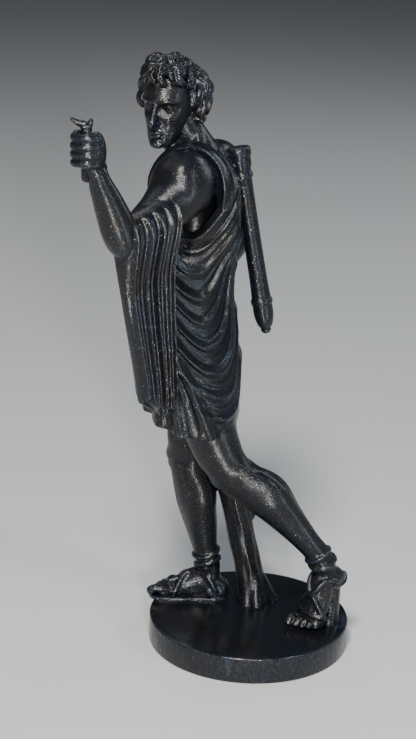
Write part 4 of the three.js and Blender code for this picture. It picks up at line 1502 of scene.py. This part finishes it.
def newMaterial(name):
    material = bpy.data.materials.new(name)
    material.use_nodes = True
    material.node_tree.nodes.clear()
    shader = material.node_tree.nodes.new("ShaderNodeBsdfPrincipled")
    out = material.node_tree.nodes.new("ShaderNodeOutputMaterial")
    material.node_tree.links.new(shader.outputs["BSDF"], out.inputs["Surface"])
    return material, material.node_tree, shader.inputs


def printedPlastic():
    look = plasticLook
    material, tree, shader = newMaterial("printedPlastic")
    place = placeInMillimetres(tree)
    height = addNode(tree, "SeparateXYZ", inputs={0: place}).outputs["Z"]
    geometry = addNode(tree, "NewGeometry").outputs
    upright = vectorCalc(tree, "DOT_PRODUCT", geometry["Normal"], (0, 0, 1))
    onBase = calc(tree, "LESS_THAN", height, body["baseHeight"] + 0.05)
    bedTop = times(tree, onBase, calc(tree, "GREATER_THAN", upright, 0.97))
    wall = times(tree, onBase, calc(tree, "LESS_THAN", upright, 0.6))
    edges = between(tree, geometry["Pointiness"], 0.51, 0.58)

    tilt = calc(tree, "MULTIPLY_ADD", wall, -look["wallTiltLoss"] * look["layerTilt"], look["layerTilt"])
    share = times(tree, calc(tree, "MULTIPLY_ADD", edges, 3.0, 0.6), look["glintShare"])
    layers = useGroup(tree, printLayers(), Pitch=look["layerPitch"], Tilt=tilt, Wander=look["layerWander"])
    glints = useGroup(tree, plasticGlints(), Size=look["glintSize"], Share=share, Spread=look["glintSpread"])
    lines = useGroup(tree, bedLines(), Pitch=look["rasterPitch"], Tilt=look["rasterTilt"])
    broad = noise(tree, place, 0.09, 3.0)
    grain = noise(tree, place, 2.6, 2.0)
    stretched = vectorCalc(tree, "MULTIPLY", place, (1.0, 1.0, look["streakLength"]))
    streaks = noise(tree, stretched, 1 / look["streakSize"], 2.0)

    # broad, slow change of colour, then a painted bluish sheen on the sharp edges, painted shade in the
    # grooves between layers, and the glints
    colour = mixed(tree, between(tree, broad[0], 0.35, 0.65), look["deep"], look["warm"])
    # painted sheen: a lighter bluish colour on the crests, in place of reflected light
    colour = mixed(tree, times(tree, edges, 0.7), colour, look["paintedEdgeSheen"])
    # painted shade: a darker colour in the grooves between layers
    colour = mixed(tree, times(tree, layers["Groove"], 0.25), colour, look["paintedGrooveShade"])
    dulled = times(tree, calc(tree, "MULTIPLY_ADD", wall, 0.3, bedTop), 0.9)
    glint = times(tree, glints["Glint"], calc(tree, "SUBTRACT", 1.0, dulled))
    colour = mixed(tree, glint, colour, glints["Tint"])
    tree.links.new(colour, shader["Base Color"])
    tree.links.new(glint, shader["Metallic"])

    streak = calc(tree, "SUBTRACT", streaks[0], 0.5)
    streakShare = times(tree, wall, look["streakRoughness"])
    rough = calc(tree, "ADD", look["roughness"] - 0.1, times(tree, grain[0], 0.2))
    rough = calc(tree, "ADD", rough, times(tree, streak, streakShare))
    rough = calc(tree, "SUBTRACT", rough, times(tree, edges, 0.08))
    rough = calc(tree, "ADD", rough, times(tree, bedTop, look["bedRoughness"]), clamp=True)
    tree.links.new(rough, shader["Roughness"])
    shader["IOR"].default_value = look["ior"]
    shader["Specular IOR Level"].default_value = look["specular"]

    grainShare = calc(tree, "MULTIPLY_ADD", onBase, look["baseGrain"] - look["grain"], look["grain"])
    normal = vectorCalc(tree, "SUBTRACT", geometry["Normal"], layers["Normal"])
    for change, strength in (
        (centred(tree, grain["Color"]), grainShare),
        (glints["Normal"], calc(tree, "MULTIPLY_ADD", glint, 0.9, 0.1)),
        (lines["Normal"], bedTop),
        (centred(tree, streaks["Color"]), times(tree, wall, look["streakTilt"])),
    ):
        normal = vectorCalc(tree, "ADD", normal, scaled(tree, change, strength))
    tree.links.new(vectorCalc(tree, "NORMALIZE", normal), shader["Normal"])
    return material


def paleFloor():
    material, _, shader = newMaterial("paleFloor")
    shader["Base Color"].default_value = (*studio["floorColour"], 1)
    shader["Roughness"].default_value = studio["floorRoughness"]
    return material


print("finish")
statue.data.materials.clear()
statue.data.materials.append(printedPlastic())


# floor and light
studio = {
    "sky": (0.74, 0.8, 0.88),
    "skyStrength": 0.075,
    "floorSize": 30,  # metres
    "floorColour": (0.46, 0.465, 0.47),
    "floorRoughness": 0.85,
    "middle": (0, 0, 0.09),  # what the lights are aimed at
    "lights": [  # name, degrees round from the front, degrees up, distance, size, power, colour
        ("keyLight", 88, 50, 0.8, 0.15, 11.0, (1.0, 0.97, 0.93)),
        ("stripLight", 108, 13, 0.8, 0.06, 6.5, (1.0, 0.97, 0.95)),
        ("leftLight", 50, 16, 0.8, 0.1, 0.7, (1.0, 0.96, 0.92)),
        ("coolLight", 154, 24, 0.9, 0.15, 3.0, (0.68, 0.84, 1.0)),
        ("backLight", 236, 34, 0.9, 0.3, 1.6, (0.86, 0.93, 1.0)),
        ("farLight", 300, 50, 0.9, 0.4, 1.1, (1.0, 1.0, 1.0)),
    ],
}


def floorAndLight():
    bpy.ops.mesh.primitive_plane_add(size=studio["floorSize"], location=(0, 0, 0))
    floor = bpy.context.object
    floor.name = "floor"
    floor.data.materials.append(paleFloor())
    world = bpy.data.worlds.new("studio")
    world.use_nodes = True
    background = world.node_tree.nodes["Background"].inputs
    background["Color"].default_value = (*studio["sky"], 1)
    background["Strength"].default_value = studio["skyStrength"]
    bpy.context.scene.world = world
    for name, aside, up, distance, size, power, colour in studio["lights"]:
        out = wayFrom(aside, up)
        bpy.ops.object.light_add(type="AREA", location=out * distance + Vector(studio["middle"]))
        light = bpy.context.object
        light.name = name
        light.data.size = size
        light.data.energy = power
        light.data.color = colour
        light.rotation_euler = out.to_track_quat("Z", "Y").to_euler()


print("floor and light")
floorAndLight()
